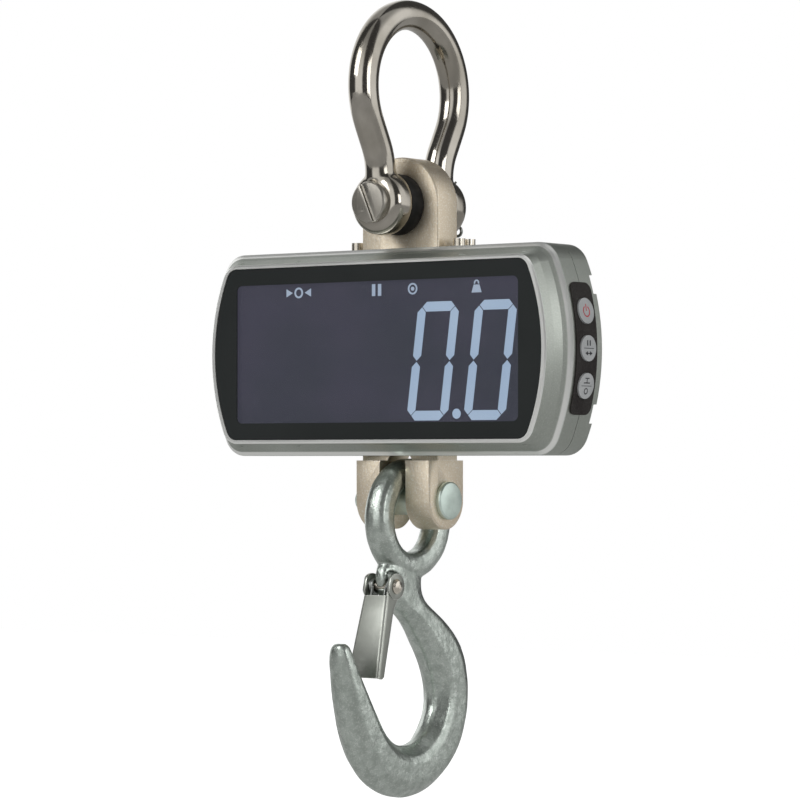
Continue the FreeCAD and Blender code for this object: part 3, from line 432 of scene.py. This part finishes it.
@dataclass(frozen=True)
class HousingPaint(Finish):
    """Silver metallic paint, with a painted highlight on the lip round the display and on the rim.
    """

    # colour of the painted highlight on the lip and the rim
    highlight_colour: str = "fbfcf9"
    band_gloss: float = 0.12        # how much smoother the bands are
    lip_y: float = -31.0            # millimetres, as all below but the gain
    lip_fade: float = 0.25
    rim_y: float = -20.55
    rim_core: float = 0.6
    rim_reach: float = 1.3
    rim_gain: float = 0.9

    def bands(self, graph: Graph, colour: object, rough: object) -> tuple[object, object]:
        """Paint a highlight on the lip and the rim's edge: brighter colour, and smoother.

        Args:
            graph: The material's graph.
            colour: The paint's colour so far.
            rough: Its roughness so far.

        Returns:
            The colour and the roughness with the bands.
        """
        _, y, _ = graph.axes()
        lip = graph.calc("SUBTRACT", 1.0,
                         graph.step(y, self.lip_y * MM, (self.lip_y + self.lip_fade) * MM))
        off = graph.calc("ABSOLUTE", graph.calc("SUBTRACT", y, self.rim_y * MM))
        rim = graph.calc("SUBTRACT", 1.0,
                         graph.step(off, self.rim_core * MM, self.rim_reach * MM))
        # painted highlight: the lip and the rim's bevel drawn near-white, as where they catch the
        # light
        bright = graph.calc("MAXIMUM", lip, graph.calc("MULTIPLY", rim, self.rim_gain))
        colour = graph.blend(bright, colour, tint(self.highlight_colour))
        smooth = graph.calc("MULTIPLY", bright, self.band_gloss)
        return colour, graph.calc("SUBTRACT", rough, smooth, clamp=True)


@dataclass(frozen=True)
class Glow:
    """A lit or back-lit display surface whose light varies gently over its area."""

    name: str
    colour: str
    far_colour: str
    strength: float
    base: str = "15161a"
    roughness: float = 0.35

    def material(self) -> bpy.types.Material:
        """Build the material the first time it is asked for.

        Returns:
            The material.
        """
        if self.name in bpy.data.materials:
            return bpy.data.materials[self.name]
        made = bpy.data.materials.new(self.name)
        made.use_nodes = True
        graph = Graph(made.node_tree)
        shader = made.node_tree.nodes["Principled BSDF"]
        shader.inputs["Specular IOR Level"].default_value = 0.2
        shader.inputs["Emission Strength"].default_value = self.strength
        wide = graph.cloud(graph.place((1.0, 1.0, 1.6)), 14.0, 2.0)
        tone = graph.step(wide, 0.3, 0.7)
        graph.feed(shader.inputs["Emission Color"],
                   graph.blend(tone, tint(self.colour), tint(self.far_colour)))
        fine = graph.cloud(graph.place(), 900.0, 1.0)
        graph.feed(shader.inputs["Roughness"],
                   graph.span(fine, self.roughness - 0.05, self.roughness + 0.05))
        graph.feed(shader.inputs["Base Color"],
                   graph.blend(fine, tint(self.base), tint("1d1e22")))
        return made


@dataclass(frozen=True)
class LensGlass:
    """The clear window over the display, with faint wipe marks in its gloss."""

    name: str = "display_window"

    def material(self) -> bpy.types.Material:
        """Build the material the first time it is asked for.

        Returns:
            The material.
        """
        if self.name in bpy.data.materials:
            return bpy.data.materials[self.name]
        made = bpy.data.materials.new(self.name)
        made.use_nodes = True
        graph = Graph(made.node_tree)
        shader = made.node_tree.nodes["Principled BSDF"]
        shader.inputs["Transmission Weight"].default_value = 1.0
        shader.inputs["IOR"].default_value = 1.12
        patches = graph.cloud(graph.place((1.0, 1.0, 2.2)), 30.0, 4.0)
        graph.feed(shader.inputs["Roughness"], graph.span(patches, 0.0, 0.03))
        graph.feed(shader.inputs["Base Color"],
                   graph.blend(patches, tint("f4f5fb"), tint("fbfbfd")))
        return made


POLISHED = Finish("polished_stainless", "b9b4ab", "9f9a90", 1.0, 0.09, 0.07, 35.0,
                  grain_scale=500.0, grain_depth=0.006, hairlines=0.10, edge="f4f2ec",
                  edge_width=0.5, edge_gain=0.4)
PIN_STEEL = Finish("satin_pin", "bdb9b0", "a19d94", 1.0, 0.26, 0.10, 70.0, grain_scale=2600.0,
                   grain_depth=0.012, hairlines=0.22, edge="f6f4ee", edge_gain=0.6)
BLASTED_NICKEL = Finish("blasted_nickel", "ebdfc9", "ddd0ba", 1.0, 0.42, 0.05, 25.0,
                        grain_scale=750.0, grain_depth=0.11, sparkle=0.34, edge="fff8ec",
                        edge_width=0.7, edge_gain=0.9)
BRIGHT_SCREW = Finish("bright_nickel", "efe9dd", "cfc8bb", 1.0, 0.16, 0.1, 120.0,
                      grain_scale=2200.0, grain_depth=0.008, hairlines=0.15, edge="fffaf0",
                      edge_width=0.3)
ZINC_FORGING = Finish("zinc_forging", "c2cac3", "a9b1aa", 1.0, 0.27, 0.10, 210.0,
                      spot_shade=0.35, grain_scale=700.0, grain_depth=0.12, sparkle=0.2,
                      relief_scale=330.0, relief_depth=0.16, edge="e6ece8", edge_width=0.9,
                      edge_gain=0.55)
ZINC_PIN = Finish("zinc_pin", "e0efe7", "c8d6ce", 1.0, 0.34, 0.08, 90.0, spot_shade=0.2,
                  grain_scale=1800.0, grain_depth=0.02, edge="eef4f5", edge_width=0.4)
ZINC_SHEET = Finish("plated_sheet", "adb0a9", "9b9e97", 1.0, 0.34, 0.06, 60.0, grain_scale=2000.0,
                    grain_depth=0.012, hairlines=0.12, edge="fafbf6", edge_width=0.5)
SPRING_WIRE = Finish("spring_wire", "a2a5a2", "777a77", 1.0, 0.3, 0.1, 300.0, grain_depth=0.008,
                     hairlines=0.1, edge="d0d3cf", edge_width=0.2)
RUBBER = Finish("black_rubber", "1b1b1b", "0e0e0e", 0.0, 0.62, 0.16, 120.0, grain_scale=1400.0,
                grain_depth=0.04, edge="2e2e2d", edge_width=0.6, edge_gain=0.7, specular=0.3)
SILVER = HousingPaint("metallic_paint", "a8ada6", "9ea39c", 0.9, 0.42, 0.04, 22.0,
                      grain_scale=2300.0, grain_depth=0.016, sparkle=0.22, edge="dfe2dd",
                      edge_width=0.5, edge_gain=0.4)
PANEL = Finish("printed_panel", "2c2f2f", "282b2b", 0.0, 0.5, 0.05, 18.0, grain_scale=2600.0,
               grain_depth=0.006, edge="343736", edge_width=0.3, edge_gain=0.3, specular=0.12)
KEYPAD = Finish("keypad_film", "2c2927", "231f1e", 0.0, 0.6, 0.08, 60.0, grain_scale=1300.0,
                grain_depth=0.05, sparkle=0.03, edge="45413e", edge_width=0.3, specular=0.2)
KEY_CAP = Finish("key_print", "b4b6b7", "a6a9aa", 0.1, 0.5, 0.06, 90.0, grain_scale=1700.0,
                 grain_depth=0.02, sparkle=0.1, edge="dfe1e2", edge_width=0.25, specular=0.3)
MARK_RED = Finish("red_print", "c22c3a", "a82230", 0.0, 0.5, 0.06, 200.0, grain_depth=0.006)
MARK_DARK = Finish("dark_print", "35363a", "2a2b2f", 0.0, 0.5, 0.06, 200.0, grain_depth=0.006)
BOARD = Finish("solder_mask", "0e4a2a", "0a3a20", 0.0, 0.32, 0.1, 140.0, spot_shade=0.3,
               grain_scale=2000.0, grain_depth=0.012, coat=0.4)
MOULDED = Finish("moulded_black", "1d1d1e", "141414", 0.0, 0.48, 0.1, 90.0, grain_scale=1500.0,
                 grain_depth=0.03, edge="2d2d2e")
MOULDED_WHITE = Finish("moulded_white", "dcdcd6", "cfcfc8", 0.0, 0.5, 0.08, 90.0,
                       grain_depth=0.02)
CELL_SLEEVE = Finish("cell_sleeve", "1d5a34", "144226", 0.0, 0.24, 0.08, 80.0, coat=0.5,
                     grain_depth=0.01, hairlines=0.05)
CONTACT = Finish("contact_nickel", "c8c7c2", "9c9b96", 1.0, 0.25, 0.1, 150.0, grain_depth=0.01,
                 hairlines=0.12)
WIRE_SLEEVE = Finish("vinyl_sleeve", "8f1f1f", "701616", 0.0, 0.4, 0.1, 200.0, grain_depth=0.01)
GAUGE = Finish("gauge_film", "c08a33", "99691f", 0.0, 0.34, 0.1, 300.0, grain_depth=0.008,
               coat=0.5)
LCD = Glow("lcd_ground", "3c3e46", "43424d", 0.95)
LIT = Glow("lit_segment", "9fb3c8", "a7bacd", 0.98)
MARK_LIT = Glow("lcd_marks", "9dacbe", "a9b7c6", 0.95)

NODE_FINISH: dict[str, object] = {
    "shackle_bow": POLISHED, "shackle_pin": PIN_STEEL, "cotter_pin": SPRING_WIRE,
    "spacer_washer_front": RUBBER, "spacer_washer_rear": RUBBER, "load_cell": BLASTED_NICKEL,
    "strain_gauges": GAUGE, "clevis_pin": ZINC_PIN, "clevis_washer": BRIGHT_SCREW,
    "clevis_circlip": SPRING_WIRE, "front_shell": SILVER, "rear_shell": SILVER,
    "shell_gasket": RUBBER, "top_cap_screws": BRIGHT_SCREW, "top_clamp": ZINC_SHEET,
    "bottom_clamp": ZINC_SHEET, "top_seal": RUBBER, "bottom_seal": RUBBER,
    "housing_screws": BRIGHT_SCREW, "panel_overlay": PANEL, "display_lens": LensGlass(),
    "lcd_glass": LCD, "lcd_backlight": MOULDED_WHITE, "lcd_digits": LIT,
    "keypad_strip": KEYPAD, "switch_board": BOARD, "tact_switches": MOULDED,
    "main_board": BOARD, "board_components": MOULDED, "board_screws": BRIGHT_SCREW,
    "battery_tray": MOULDED, "battery_cells": CELL_SLEEVE, "battery_contacts": CONTACT,
    "buzzer": MOULDED, "receiver_board": BOARD, "antenna_coil": CONTACT,
    "load_cell_cable": WIRE_SLEEVE, "battery_leads": WIRE_SLEEVE, "power_button": KEY_CAP,
    "hold_button": KEY_CAP, "tare_button": KEY_CAP, "battery_door": SILVER,
    "hook": ZINC_FORGING, "latch_rivet": BRIGHT_SCREW, "latch": ZINC_SHEET,
    "latch_spring": SPRING_WIRE,
}


# ------------------------------------------------------------------ mesh building
def link(name: str, mesh: bpy.types.Mesh, finish: object) -> bpy.types.Object:
    """Put a finished mesh in the scene.

    Args:
        name: The piece's name.
        mesh: Its mesh, already in place.
        finish: What its surface is.

    Returns:
        The new object, at the origin.
    """
    mesh.name = name
    mesh.materials.clear()
    mesh.materials.append(finish.material())
    made = bpy.data.objects.new(name, mesh)
    bpy.context.scene.collection.objects.link(made)
    return made


def settle(piece: bpy.types.Object, body: Body, slot: str, *nodes: str) -> bpy.types.Object:
    """Say what a finished piece is to the row.

    Args:
        piece: The piece.
        body: What it rides on.
        slot: Its material slot; not used.
        nodes: The CAD nodes that it stands for, if any.

    Returns:
        The same piece.
    """
    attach(piece, body.value)
    if nodes:
        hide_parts(*nodes)
    LOG.info("%s: %d faces, rides on %s", piece.name, len(piece.data.polygons), body.value)
    return piece


def apply_modifiers(piece: bpy.types.Object) -> None:
    """Turn a piece and its modifiers into a plain mesh."""
    bpy.context.view_layer.update()
    seen = piece.evaluated_get(bpy.context.evaluated_depsgraph_get())
    mesh = bpy.data.meshes.new_from_object(seen)
    piece.modifiers.clear()
    old, piece.data = piece.data, mesh
    bpy.data.meshes.remove(old)


def merged_copy(node: str, name: str, finish: object) -> bpy.types.Object:
    """Copy a CAD node's mesh and join its loose triangles.

    Args:
        node: The CAD node.
        name: The new piece's name.
        finish: What its surface is.

    Returns:
        The copy.
    """
    shape = bmesh.new()
    shape.from_mesh(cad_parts[node].data)
    bmesh.ops.remove_doubles(shape, verts=shape.verts, dist=WELD_GAP)
    mesh = bpy.data.meshes.new(name)
    shape.to_mesh(mesh)
    shape.free()
    return link(name, mesh, finish)


def soften(piece: bpy.types.Object, voxel: float, rounds: int) -> None:
    """Rebuild a solid as an even skin and relax it, so that its edges round off as a forging's.

    Args:
        piece: The solid.
        voxel: Size of the skin's faces, in millimetres.
        rounds: How often it is relaxed.
    """
    skin = piece.modifiers.new("skin", "REMESH")
    skin.mode = "VOXEL"
    skin.voxel_size = voxel * MM
    skin.use_smooth_shade = True
    relax = piece.modifiers.new("relax", "CORRECTIVE_SMOOTH")
    relax.factor, relax.iterations = 0.5, rounds
    relax.use_only_smooth = True
    apply_modifiers(piece)


def rounded_copy(node: str, name: str, finish: object, width: float,
                 limit: float = 40.0) -> bpy.types.Object:
    """Copy a CAD node with its sharp edges broken by a small real radius.

    Args:
        node: The CAD node.
        name: The new piece's name.
        finish: What its surface is.
        width: How far each edge is cut back, in millimetres.
        limit: The angle over which an edge counts as sharp, in degrees.

    Returns:
        The copy.
    """
    piece = merged_copy(node, name, finish)
    shape = bmesh.new()
    shape.from_mesh(piece.data)
    bmesh.ops.dissolve_limit(shape, angle_limit=FLAT_ANGLE, verts=shape.verts,
                             edges=shape.edges)
    shape.to_mesh(piece.data)
    shape.free()
    cut = piece.modifiers.new("edge", "BEVEL")
    cut.width, cut.segments = width * MM, 2
    cut.limit_method, cut.angle_limit = "ANGLE", math.radians(limit)
    cut.harden_normals = False
    apply_modifiers(piece)
    for face in piece.data.polygons:
        face.use_smooth = True
    piece.data.set_sharp_from_angle(angle=CREASE_ANGLE)
    return piece


# ------------------------------------------------------------------ geometry nodes
class WireTree:
    """Geometry nodes that sweep a round wire along a spine, with its radius as an input."""

    def __init__(self, finish: object) -> None:
        """Build the tree.

        Args:
            finish: What the wire's surface is.
        """
        tree = bpy.data.node_groups.new("swept_wire", "GeometryNodeTree")
        face = tree.interface
        face.new_socket("Spine", in_out="INPUT", socket_type="NodeSocketGeometry")
        for label, kind, value in (("Radius", "NodeSocketFloat", 0.0006),
                                   ("Sides", "NodeSocketInt", 12)):
            face.new_socket(label, in_out="INPUT", socket_type=kind).default_value = value
        face.new_socket("Wire", in_out="OUTPUT", socket_type="NodeSocketGeometry")
        graph = Graph(tree)
        given, out = graph.add("NodeGroupInput"), graph.add("NodeGroupOutput")
        line = graph.add("GeometryNodeMeshToCurve")
        ring = graph.add("GeometryNodeCurvePrimitiveCircle", mode="RADIUS")
        sweep = graph.add("GeometryNodeCurveToMesh")
        sweep.inputs["Fill Caps"].default_value = True
        smooth = graph.add("GeometryNodeSetShadeSmooth")
        real = graph.add("GeometryNodeRealizeInstances")
        paint = graph.add("GeometryNodeSetMaterial")
        paint.inputs["Material"].default_value = finish.material()
        graph.feed(line.inputs["Mesh"], given.outputs["Spine"])
        graph.feed(ring.inputs["Radius"], given.outputs["Radius"])
        graph.feed(ring.inputs["Resolution"], given.outputs["Sides"])
        graph.feed(sweep.inputs["Curve"], line.outputs[0])
        graph.feed(sweep.inputs["Profile Curve"], ring.outputs["Curve"])
        graph.feed(smooth.inputs["Geometry"], sweep.outputs[0])
        graph.feed(real.inputs[0], smooth.outputs[0])
        graph.feed(paint.inputs["Geometry"], real.outputs[0])
        graph.feed(out.inputs["Wire"], paint.outputs[0])
        self.tree, self.finish = tree, finish

    def sweep(self, name: str, spines: list[list[Vector]], radius: float) -> bpy.types.Object:
        """Sweep wire along each spine.

        Args:
            name: The piece's name.
            spines: Runs of points.
            radius: The wire's radius, in millimetres.

        Returns:
            The finished plain mesh.
        """
        points = [p for spine in spines for p in spine]
        joins, start = [], 0
        for spine in spines:
            joins += [(start + n, start + n + 1) for n in range(len(spine) - 1)]
            start += len(spine)
        mesh = bpy.data.meshes.new(name)
        mesh.from_pydata(points, joins, [])
        piece = link(name, mesh, self.finish)
        wire = piece.modifiers.new("wire", "NODES")
        wire.node_group = self.tree
        names = {item.name: item.identifier for item in self.tree.interface.items_tree}
        wire[names["Radius"]] = radius * MM
        wire[names["Sides"]] = 14
        apply_modifiers(piece)
        return piece


# ------------------------------------------------------------------ sub-assemblies
@dataclass
class Shackle:
    """The bow shackle with its pin."""

    voxel: float = 0.75             # millimetres, as the edge break
    relax_rounds: int = 10
    pin_edge: float = 0.35

    def bow(self) -> None:
        """The polished bow, its wire flowing into the forged eyes."""
        bow = merged_copy("shackle_bow", "bow_forging", POLISHED)
        soften(bow, self.voxel, self.relax_rounds)
        settle(bow, Body.SHACKLE, "stainless", "shackle_bow")

    def pin(self) -> None:
        """The slotted pin."""
        pin = rounded_copy("shackle_pin", "slotted_pin", PIN_STEEL, self.pin_edge)
        settle(pin, Body.SHACKLE, "stainless", "shackle_pin")

    def build(self) -> None:
        """Build the shackle's pieces."""
        self.bow()
        self.pin()


@dataclass
class Latch:
    """The spring latch of the hook."""

    wire: float = 0.62              # radius, in millimetres as the rest
    coil: float = 3.55
    turns: int = 3
    inner: float = 4.2              # first coil's place along the rivet
    reach: float = 14.2
    leg_y: float = -3.5
    leg_steps: int = 6
    steps: int = 28
    pitch: float = 1.35             # turns lie this many wire radii apart
    edge: float = 0.25

    def place(self, point: tuple[float, float, float]) -> Vector:
        """Turn a point of the latch's own frame into the row's.

        Args:
            point: Millimetres from the rivet, Z along the latch.

        Returns:
            The point in metres.
        """
        turned = Matrix.Rotation(-LATCH_LEAN, 3, "X") @ (Vector(point) * MM)
        return turned + Vector((0, *RIVET_YZ))

    def spring(self) -> None:
        """One wire: two coils round the rivet and the bridge that presses the latch shut."""
        line: list[Vector] = []
        for side in (-1, 1):
            coil = []
            for n in range(self.turns * self.steps + 1):
                angle = 2 * math.pi * n / self.steps
                x = side * (self.inner + self.pitch * self.wire * n / self.steps)
                coil.append(self.place((x, self.coil * -math.cos(angle),
                                        self.coil * -math.sin(angle))))
            leg = [self.place((side * self.inner, self.leg_y, -self.reach * k / self.leg_steps))
                   for k in range(self.leg_steps, 0, -1)]
            line += (leg + coil)[::side]
        wire = WireTree(SPRING_WIRE).sweep("torsion_spring", [line], self.wire)
        settle(wire, Body.LATCH, "spring_steel", "latch_spring")

    def plate(self) -> None:
        """The bent sheet of the latch."""
        plate = rounded_copy("latch", "latch_plate", ZINC_SHEET, self.edge)
        settle(plate, Body.LATCH, "zinc_sheet", "latch")

    def build(self) -> None:
        """Build the latch's pieces."""
        self.plate()
        self.spring()


@dataclass
class Hook:
    """The forged eye hook."""

    voxel: float = 0.68
    relax_rounds: int = 2
    swell: float = 0.18             # millimetres of hammered unevenness
    broad: float = 110.0            # its waves per metre
    narrow: float = 330.0
    broad_share: float = 0.7

    def build(self) -> None:
        """Build the forging, its skin a little uneven."""
        hook = merged_copy("hook", "hook_forging", ZINC_FORGING)
        soften(hook, self.voxel, self.relax_rounds)
        normals = [n.vector.copy() for n in hook.data.vertex_normals]
        for point, out in zip(hook.data.vertices, normals):
            at = point.co
            lift = (noise.noise(at * self.broad) * self.broad_share
                    + noise.noise(at * self.narrow) * (1 - self.broad_share))
            point.co = at + out * (lift * self.swell * MM)
        settle(hook, Body.HOOK, "zinc", "hook")


@dataclass
class LoadCell:
    """The load cell's block with its clevis, and the pin through it."""

    block_edge: float = 0.3         # millimetres
    pin_edge: float = 0.25

    def build(self) -> None:
        """Build the block and the pin with their edges broken."""
        block = rounded_copy("load_cell", "cell_block", BLASTED_NICKEL, self.block_edge)
        settle(block, Body.SCALE, "nickel_steel", "load_cell")
        pin = rounded_copy("clevis_pin", "headed_pin", ZINC_PIN, self.pin_edge)
        settle(pin, Body.SCALE, "zinc", "clevis_pin")


class Outline:
    """Makers of flat closed outlines, in millimetres, for printed marks."""

    @staticmethod
    def disc(x: float, y: float, radius: float, sides: int = 28) -> Ring:
        """Return the points of a circle."""
        turns = [2 * math.pi * n / sides for n in range(sides)]
        return [(x + radius * math.cos(t), y + radius * math.sin(t)) for t in turns]

    @staticmethod
    def arc(x: float, y: float, radius: float, width: float, start: float,
            end: float, sides: int = 30) -> Ring:
        """Outline a part of a ring.

        Args:
            x: The ring's centre.
            y: The ring's centre.
            radius: From the centre to the middle of the band.
            width: The band's width.
            start: Where it starts, in degrees.
            end: Where it ends, in degrees.
            sides: How many straight pieces it has.

        Returns:
            The outline's points.
        """
        turns = [math.radians(start + (end - start) * n / sides) for n in range(sides + 1)]
        out = [(x + (radius + width / 2) * math.cos(t), y + (radius + width / 2) * math.sin(t))
               for t in turns]
        back = [(x + (radius - width / 2) * math.cos(t), y + (radius - width / 2) * math.sin(t))
                for t in reversed(turns)]
        return out + back

    @staticmethod
    def bar(x: float, y: float, width: float, height: float) -> Ring:
        """Return the corners of an upright bar about its centre."""
        w, h = width / 2, height / 2
        return [(x - w, y - h), (x + w, y - h), (x + w, y + h), (x - w, y + h)]

    @staticmethod
    def arrow(x: float, y: float, size: float, way: int) -> Ring:
        """Return a triangle that points left (-1) or right (1)."""
        return [(x - way * size / 2, y - size / 2), (x + way * size / 2, y),
                (x - way * size / 2, y + size / 2)]


def raise_marks(name: str, rings: list[Ring], place: Matrix,
                thickness: float, finish: object) -> bpy.types.Object:
    """Make thin raised marks from flat outlines.

    Args:
        name: The piece's name.
        rings: Outlines in millimetres, X to the right and Y up on the surface.
        place: Turns the marks' own frame, its Z out of the surface, into the row's.
        thickness: How proud the marks stand, in millimetres.
        finish: What they are printed in.

    Returns:
        The piece.
    """
    shape = bmesh.new()
    for ring in rings:
        floor = [shape.verts.new((x * MM, y * MM, 0)) for x, y in ring]
        roof = [shape.verts.new((x * MM, y * MM, thickness * MM)) for x, y in ring]
        shape.faces.new(floor)
        shape.faces.new(roof)
        for n in range(len(ring)):
            k = (n + 1) % len(ring)
            shape.faces.new((floor[n], floor[k], roof[k], roof[n]))
    bmesh.ops.recalc_face_normals(shape, faces=shape.faces)
    bmesh.ops.triangulate(shape, faces=shape.faces)
    shape.transform(place)
    mesh = bpy.data.meshes.new(name)
    shape.to_mesh(mesh)
    shape.free()
    return link(name, mesh, finish)


@dataclass
class Keypad:
    """The three key caps' printed marks: a power sign and plain two-part signs."""

    pitch: float = 18.25
    radius: float = 115.0
    cap_top: float = 116.8
    print_thickness: float = 0.06
    key_y: float = -9.0
    marks: dict[str, int] = field(default_factory=lambda: {"power": 1, "hold": 0, "tare": -1})

    def frame_of(self, step: int) -> Matrix:
        """Return the place of a key's face, Z out of the wall and X towards the back.

        Args:
            step: How many keys above the middle one.

        Returns:
            The placement.
        """
        turn = math.asin(step * self.pitch / self.radius)
        out = Vector((math.cos(turn), 0, math.sin(turn)))
        right, up = Vector((0, 1, 0)), Vector((-math.sin(turn), 0, math.cos(turn)))
        centre = Vector((0, self.key_y * MM, MIDDLE_Z)) + out * (self.cap_top * MM)
        place = Matrix((right, up, out)).transposed().to_4x4()
        place.translation = centre
        return place

    def build(self) -> None:
        """Print the three keys."""
        draw = Outline
        power = [draw.arc(0, -0.3, 2.6, 0.62, 120, 420), draw.bar(0, 1.6, 0.62, 3.6)]
        divider = draw.bar(0, 0, 8.6, 0.32)
        pause = [draw.bar(x, 2.6, 0.9, 2.7) for x in (-1.1, 1.1)]
        swap = [draw.arrow(-2.0, -2.5, 2.2, -1), draw.arrow(2.0, -2.5, 2.2, 1),
                draw.bar(0, -2.5, 2.6, 0.5)]
        ring = [draw.arc(0, -2.6, 1.35, 0.55, 0, 180), draw.arc(0, -2.6, 1.35, 0.55, 180, 360)]
        pan = [draw.bar(0, 1.5, 5.2, 0.55), draw.bar(0, 2.6, 0.55, 2.0),
               draw.bar(0, 3.8, 3.4, 0.55)]
        signs = {"power": (power, MARK_RED), "hold": ([divider, *pause, *swap], MARK_DARK),
                 "tare": ([divider, *pan, *ring], MARK_DARK)}
        bodies = {"power": Body.POWER, "hold": Body.HOLD, "tare": Body.TARE}
        for name, step in self.marks.items():
            rings, finish = signs[name]
            piece = raise_marks(f"{name}_print", rings, self.frame_of(step),
                                self.print_thickness, finish)
            settle(piece, bodies[name], "key_grey")


@dataclass
class Display:
    """The small signs that the display lights along its top."""

    depth_y: float = -28.2
    row_z: float = 31.3             # above the housing's centre
    thickness: float = 0.25

    def build(self) -> None:
        """Light the zero, hold, steady and weight signs."""
        draw, z = Outline, self.row_z
        place = Matrix(((1, 0, 0, 0), (0, 0, -1, self.depth_y * MM), (0, 1, 0, MIDDLE_Z),
                        (0, 0, 0, 1)))
        zero = [draw.arrow(-56.0, z, 4.0, 1), draw.arrow(-44.0, z, 4.0, -1),
                draw.arc(-50.0, z, 2.3, 0.9, 0, 180), draw.arc(-50.0, z, 2.3, 0.9, 180, 360)]
        hold = [draw.bar(x, z, 2.0, 6.0) for x in (-1.4, 2.4)]
        steady = [draw.arc(23.3, z, 2.5, 0.8, 0, 180), draw.arc(23.3, z, 2.5, 0.8, 180, 360),
                  draw.disc(23.3, z, 1.0)]
        weight = [[(59.9, z - 3.0), (65.9, z - 3.0), (64.6, z + 0.9), (61.2, z + 0.9)],
                  draw.arc(62.9, z + 1.8, 1.2, 0.7, -20, 200)]
        signs = raise_marks("display_signs", zero + hold + steady + weight, place,
                            self.thickness, MARK_LIT)
        settle(signs, Body.SCALE, "lcd_lit")


# ------------------------------------------------------------------ studio
@dataclass
class Studio:
    """A pale floor, a soft surround and the camera."""

    floor_z: float = -0.9
    floor_glow: float = 0.26        # what it throws up; looked at directly, it is white
    camera_at: tuple[float, float, float] = (1.0829, -1.4453, -0.2223)
    heading: float = 37.0
    tilt: float = 1.025
    lens: float = 158.4
    floor_half: float = 9.0
    stripes: float = 3.0            # light panels round the room
    dark_wall: float = 0.09
    bright_wall: float = 1.40
    ceiling: float = 0.35           # how bright the panels still are overhead

    def camera(self) -> None:
        """Set up the camera."""
        data = bpy.data.cameras.new("camera")
        data.lens, data.sensor_width = self.lens, 36.0
        data.clip_start, data.clip_end = 0.05, 60.0
        made = bpy.data.objects.new("camera", data)
        made.location = self.camera_at
        made.rotation_euler = (math.radians(90 + self.tilt), 0, math.radians(self.heading))
        bpy.context.scene.collection.objects.link(made)
        bpy.context.scene.camera = made

    def floor(self) -> None:
        """Lay the floor."""
        mesh = bpy.data.meshes.new("studio_floor")
        corners = [(x * self.floor_half, y * self.floor_half, self.floor_z)
                   for x, y in ((-1, -1), (1, -1), (1, 1), (-1, 1))]
        mesh.from_pydata(corners, [], [(0, 1, 2, 3)])
        finish = Finish("pale_floor", "a2a2a1", "9d9d9c", 0.0, 0.8, 0.05, 2.0, grain_scale=300.0,
                        grain_depth=0.01)
        graph = Graph(finish.material().node_tree)
        paint = graph.tree.nodes["Principled BSDF"]
        paint.inputs["Emission Color"].default_value = (1, 1, 1, 1)
        seen = graph.add("ShaderNodeLightPath").outputs["Is Camera Ray"]
        graph.feed(paint.inputs["Emission Strength"], graph.span(seen, self.floor_glow, 1.0))
        link("studio_floor", mesh, finish)

    def surround(self) -> None:
        """Light the scene from a soft room, with darker bands for polished metal to show."""
        world = bpy.data.worlds.new("studio")
        bpy.context.scene.world = world
        world.use_nodes = True
        graph = Graph(world.node_tree)
        out = world.node_tree.nodes["World Output"]
        plain = world.node_tree.nodes["Background"]
        plain.inputs["Color"].default_value = (1, 1, 1, 1)
        plain.inputs["Strength"].default_value = 1.0
        room = graph.add("ShaderNodeBackground")
        way = graph.add("ShaderNodeSeparateXYZ")
        graph.feed(way.inputs[0], graph.add("ShaderNodeTexCoord").outputs["Generated"])
        x, y, z = way.outputs
        angle = graph.calc("ARCTAN2", y, x)
        stripes = graph.calc("SINE", graph.calc("MULTIPLY", angle, self.stripes))
        panels = graph.step(stripes, -0.25, 0.45)
        dim = graph.span(graph.step(z, 0.5, 0.9), 1.0, self.ceiling)
        bright = graph.calc("MULTIPLY", panels, dim)
        graph.feed(room.inputs["Strength"],
                   graph.span(bright, self.dark_wall, self.bright_wall))
        mix = graph.add("ShaderNodeMixShader")
        graph.feed(mix.inputs[0], graph.add("ShaderNodeLightPath").outputs["Is Camera Ray"])
        graph.feed(mix.inputs[1], room.outputs[0])
        graph.feed(mix.inputs[2], plain.outputs[0])
        graph.feed(out.inputs["Surface"], mix.outputs[0])

    def lamp(self, name: str, at: tuple[float, float, float], size: float, power: float) -> None:
        """Hang a soft lamp that faces the housing.

        Args:
            name: The lamp's name.
            at: Where it hangs.
            size: The side of its square panel.
            power: Its power in watts.
        """
        data = bpy.data.lights.new(name, "AREA")
        data.size, data.energy = size, power
        made = bpy.data.objects.new(name, data)
        made.location = at
        aim = Vector((0, 0, MIDDLE_Z)) - Vector(at)
        made.rotation_euler = aim.to_track_quat("-Z", "Y").to_euler()
        bpy.context.scene.collection.objects.link(made)

    def build(self) -> None:
        """Build the studio."""
        bpy.context.scene.view_settings.view_transform = "Standard"
        self.camera()
        self.floor()
        self.surround()
        self.lamp("key_lamp", (-0.7, -1.5, 0.9), 1.0, 11.0)
        self.lamp("side_lamp", (1.7, -0.4, 0.3), 0.8, 6.0)


def dress_frame() -> None:
    """Give every CAD node its finish."""
    for name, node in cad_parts.items():
        node.data.materials.clear()
        node.data.materials.append(NODE_FINISH[name].material())
        LOG.info("%s: dressed", name)


def main() -> None:
    """Build the studio and dress the scale."""
    logging.basicConfig(level=logging.INFO, format="%(name)s: %(message)s")
    Studio().build()
    dress_frame()
    for assembly in (Shackle(), LoadCell(), Hook(), Latch(), Keypad(), Display()):
        assembly.build()
        LOG.info("%s done", type(assembly).__name__)


if __name__ == "__main__":
    main()
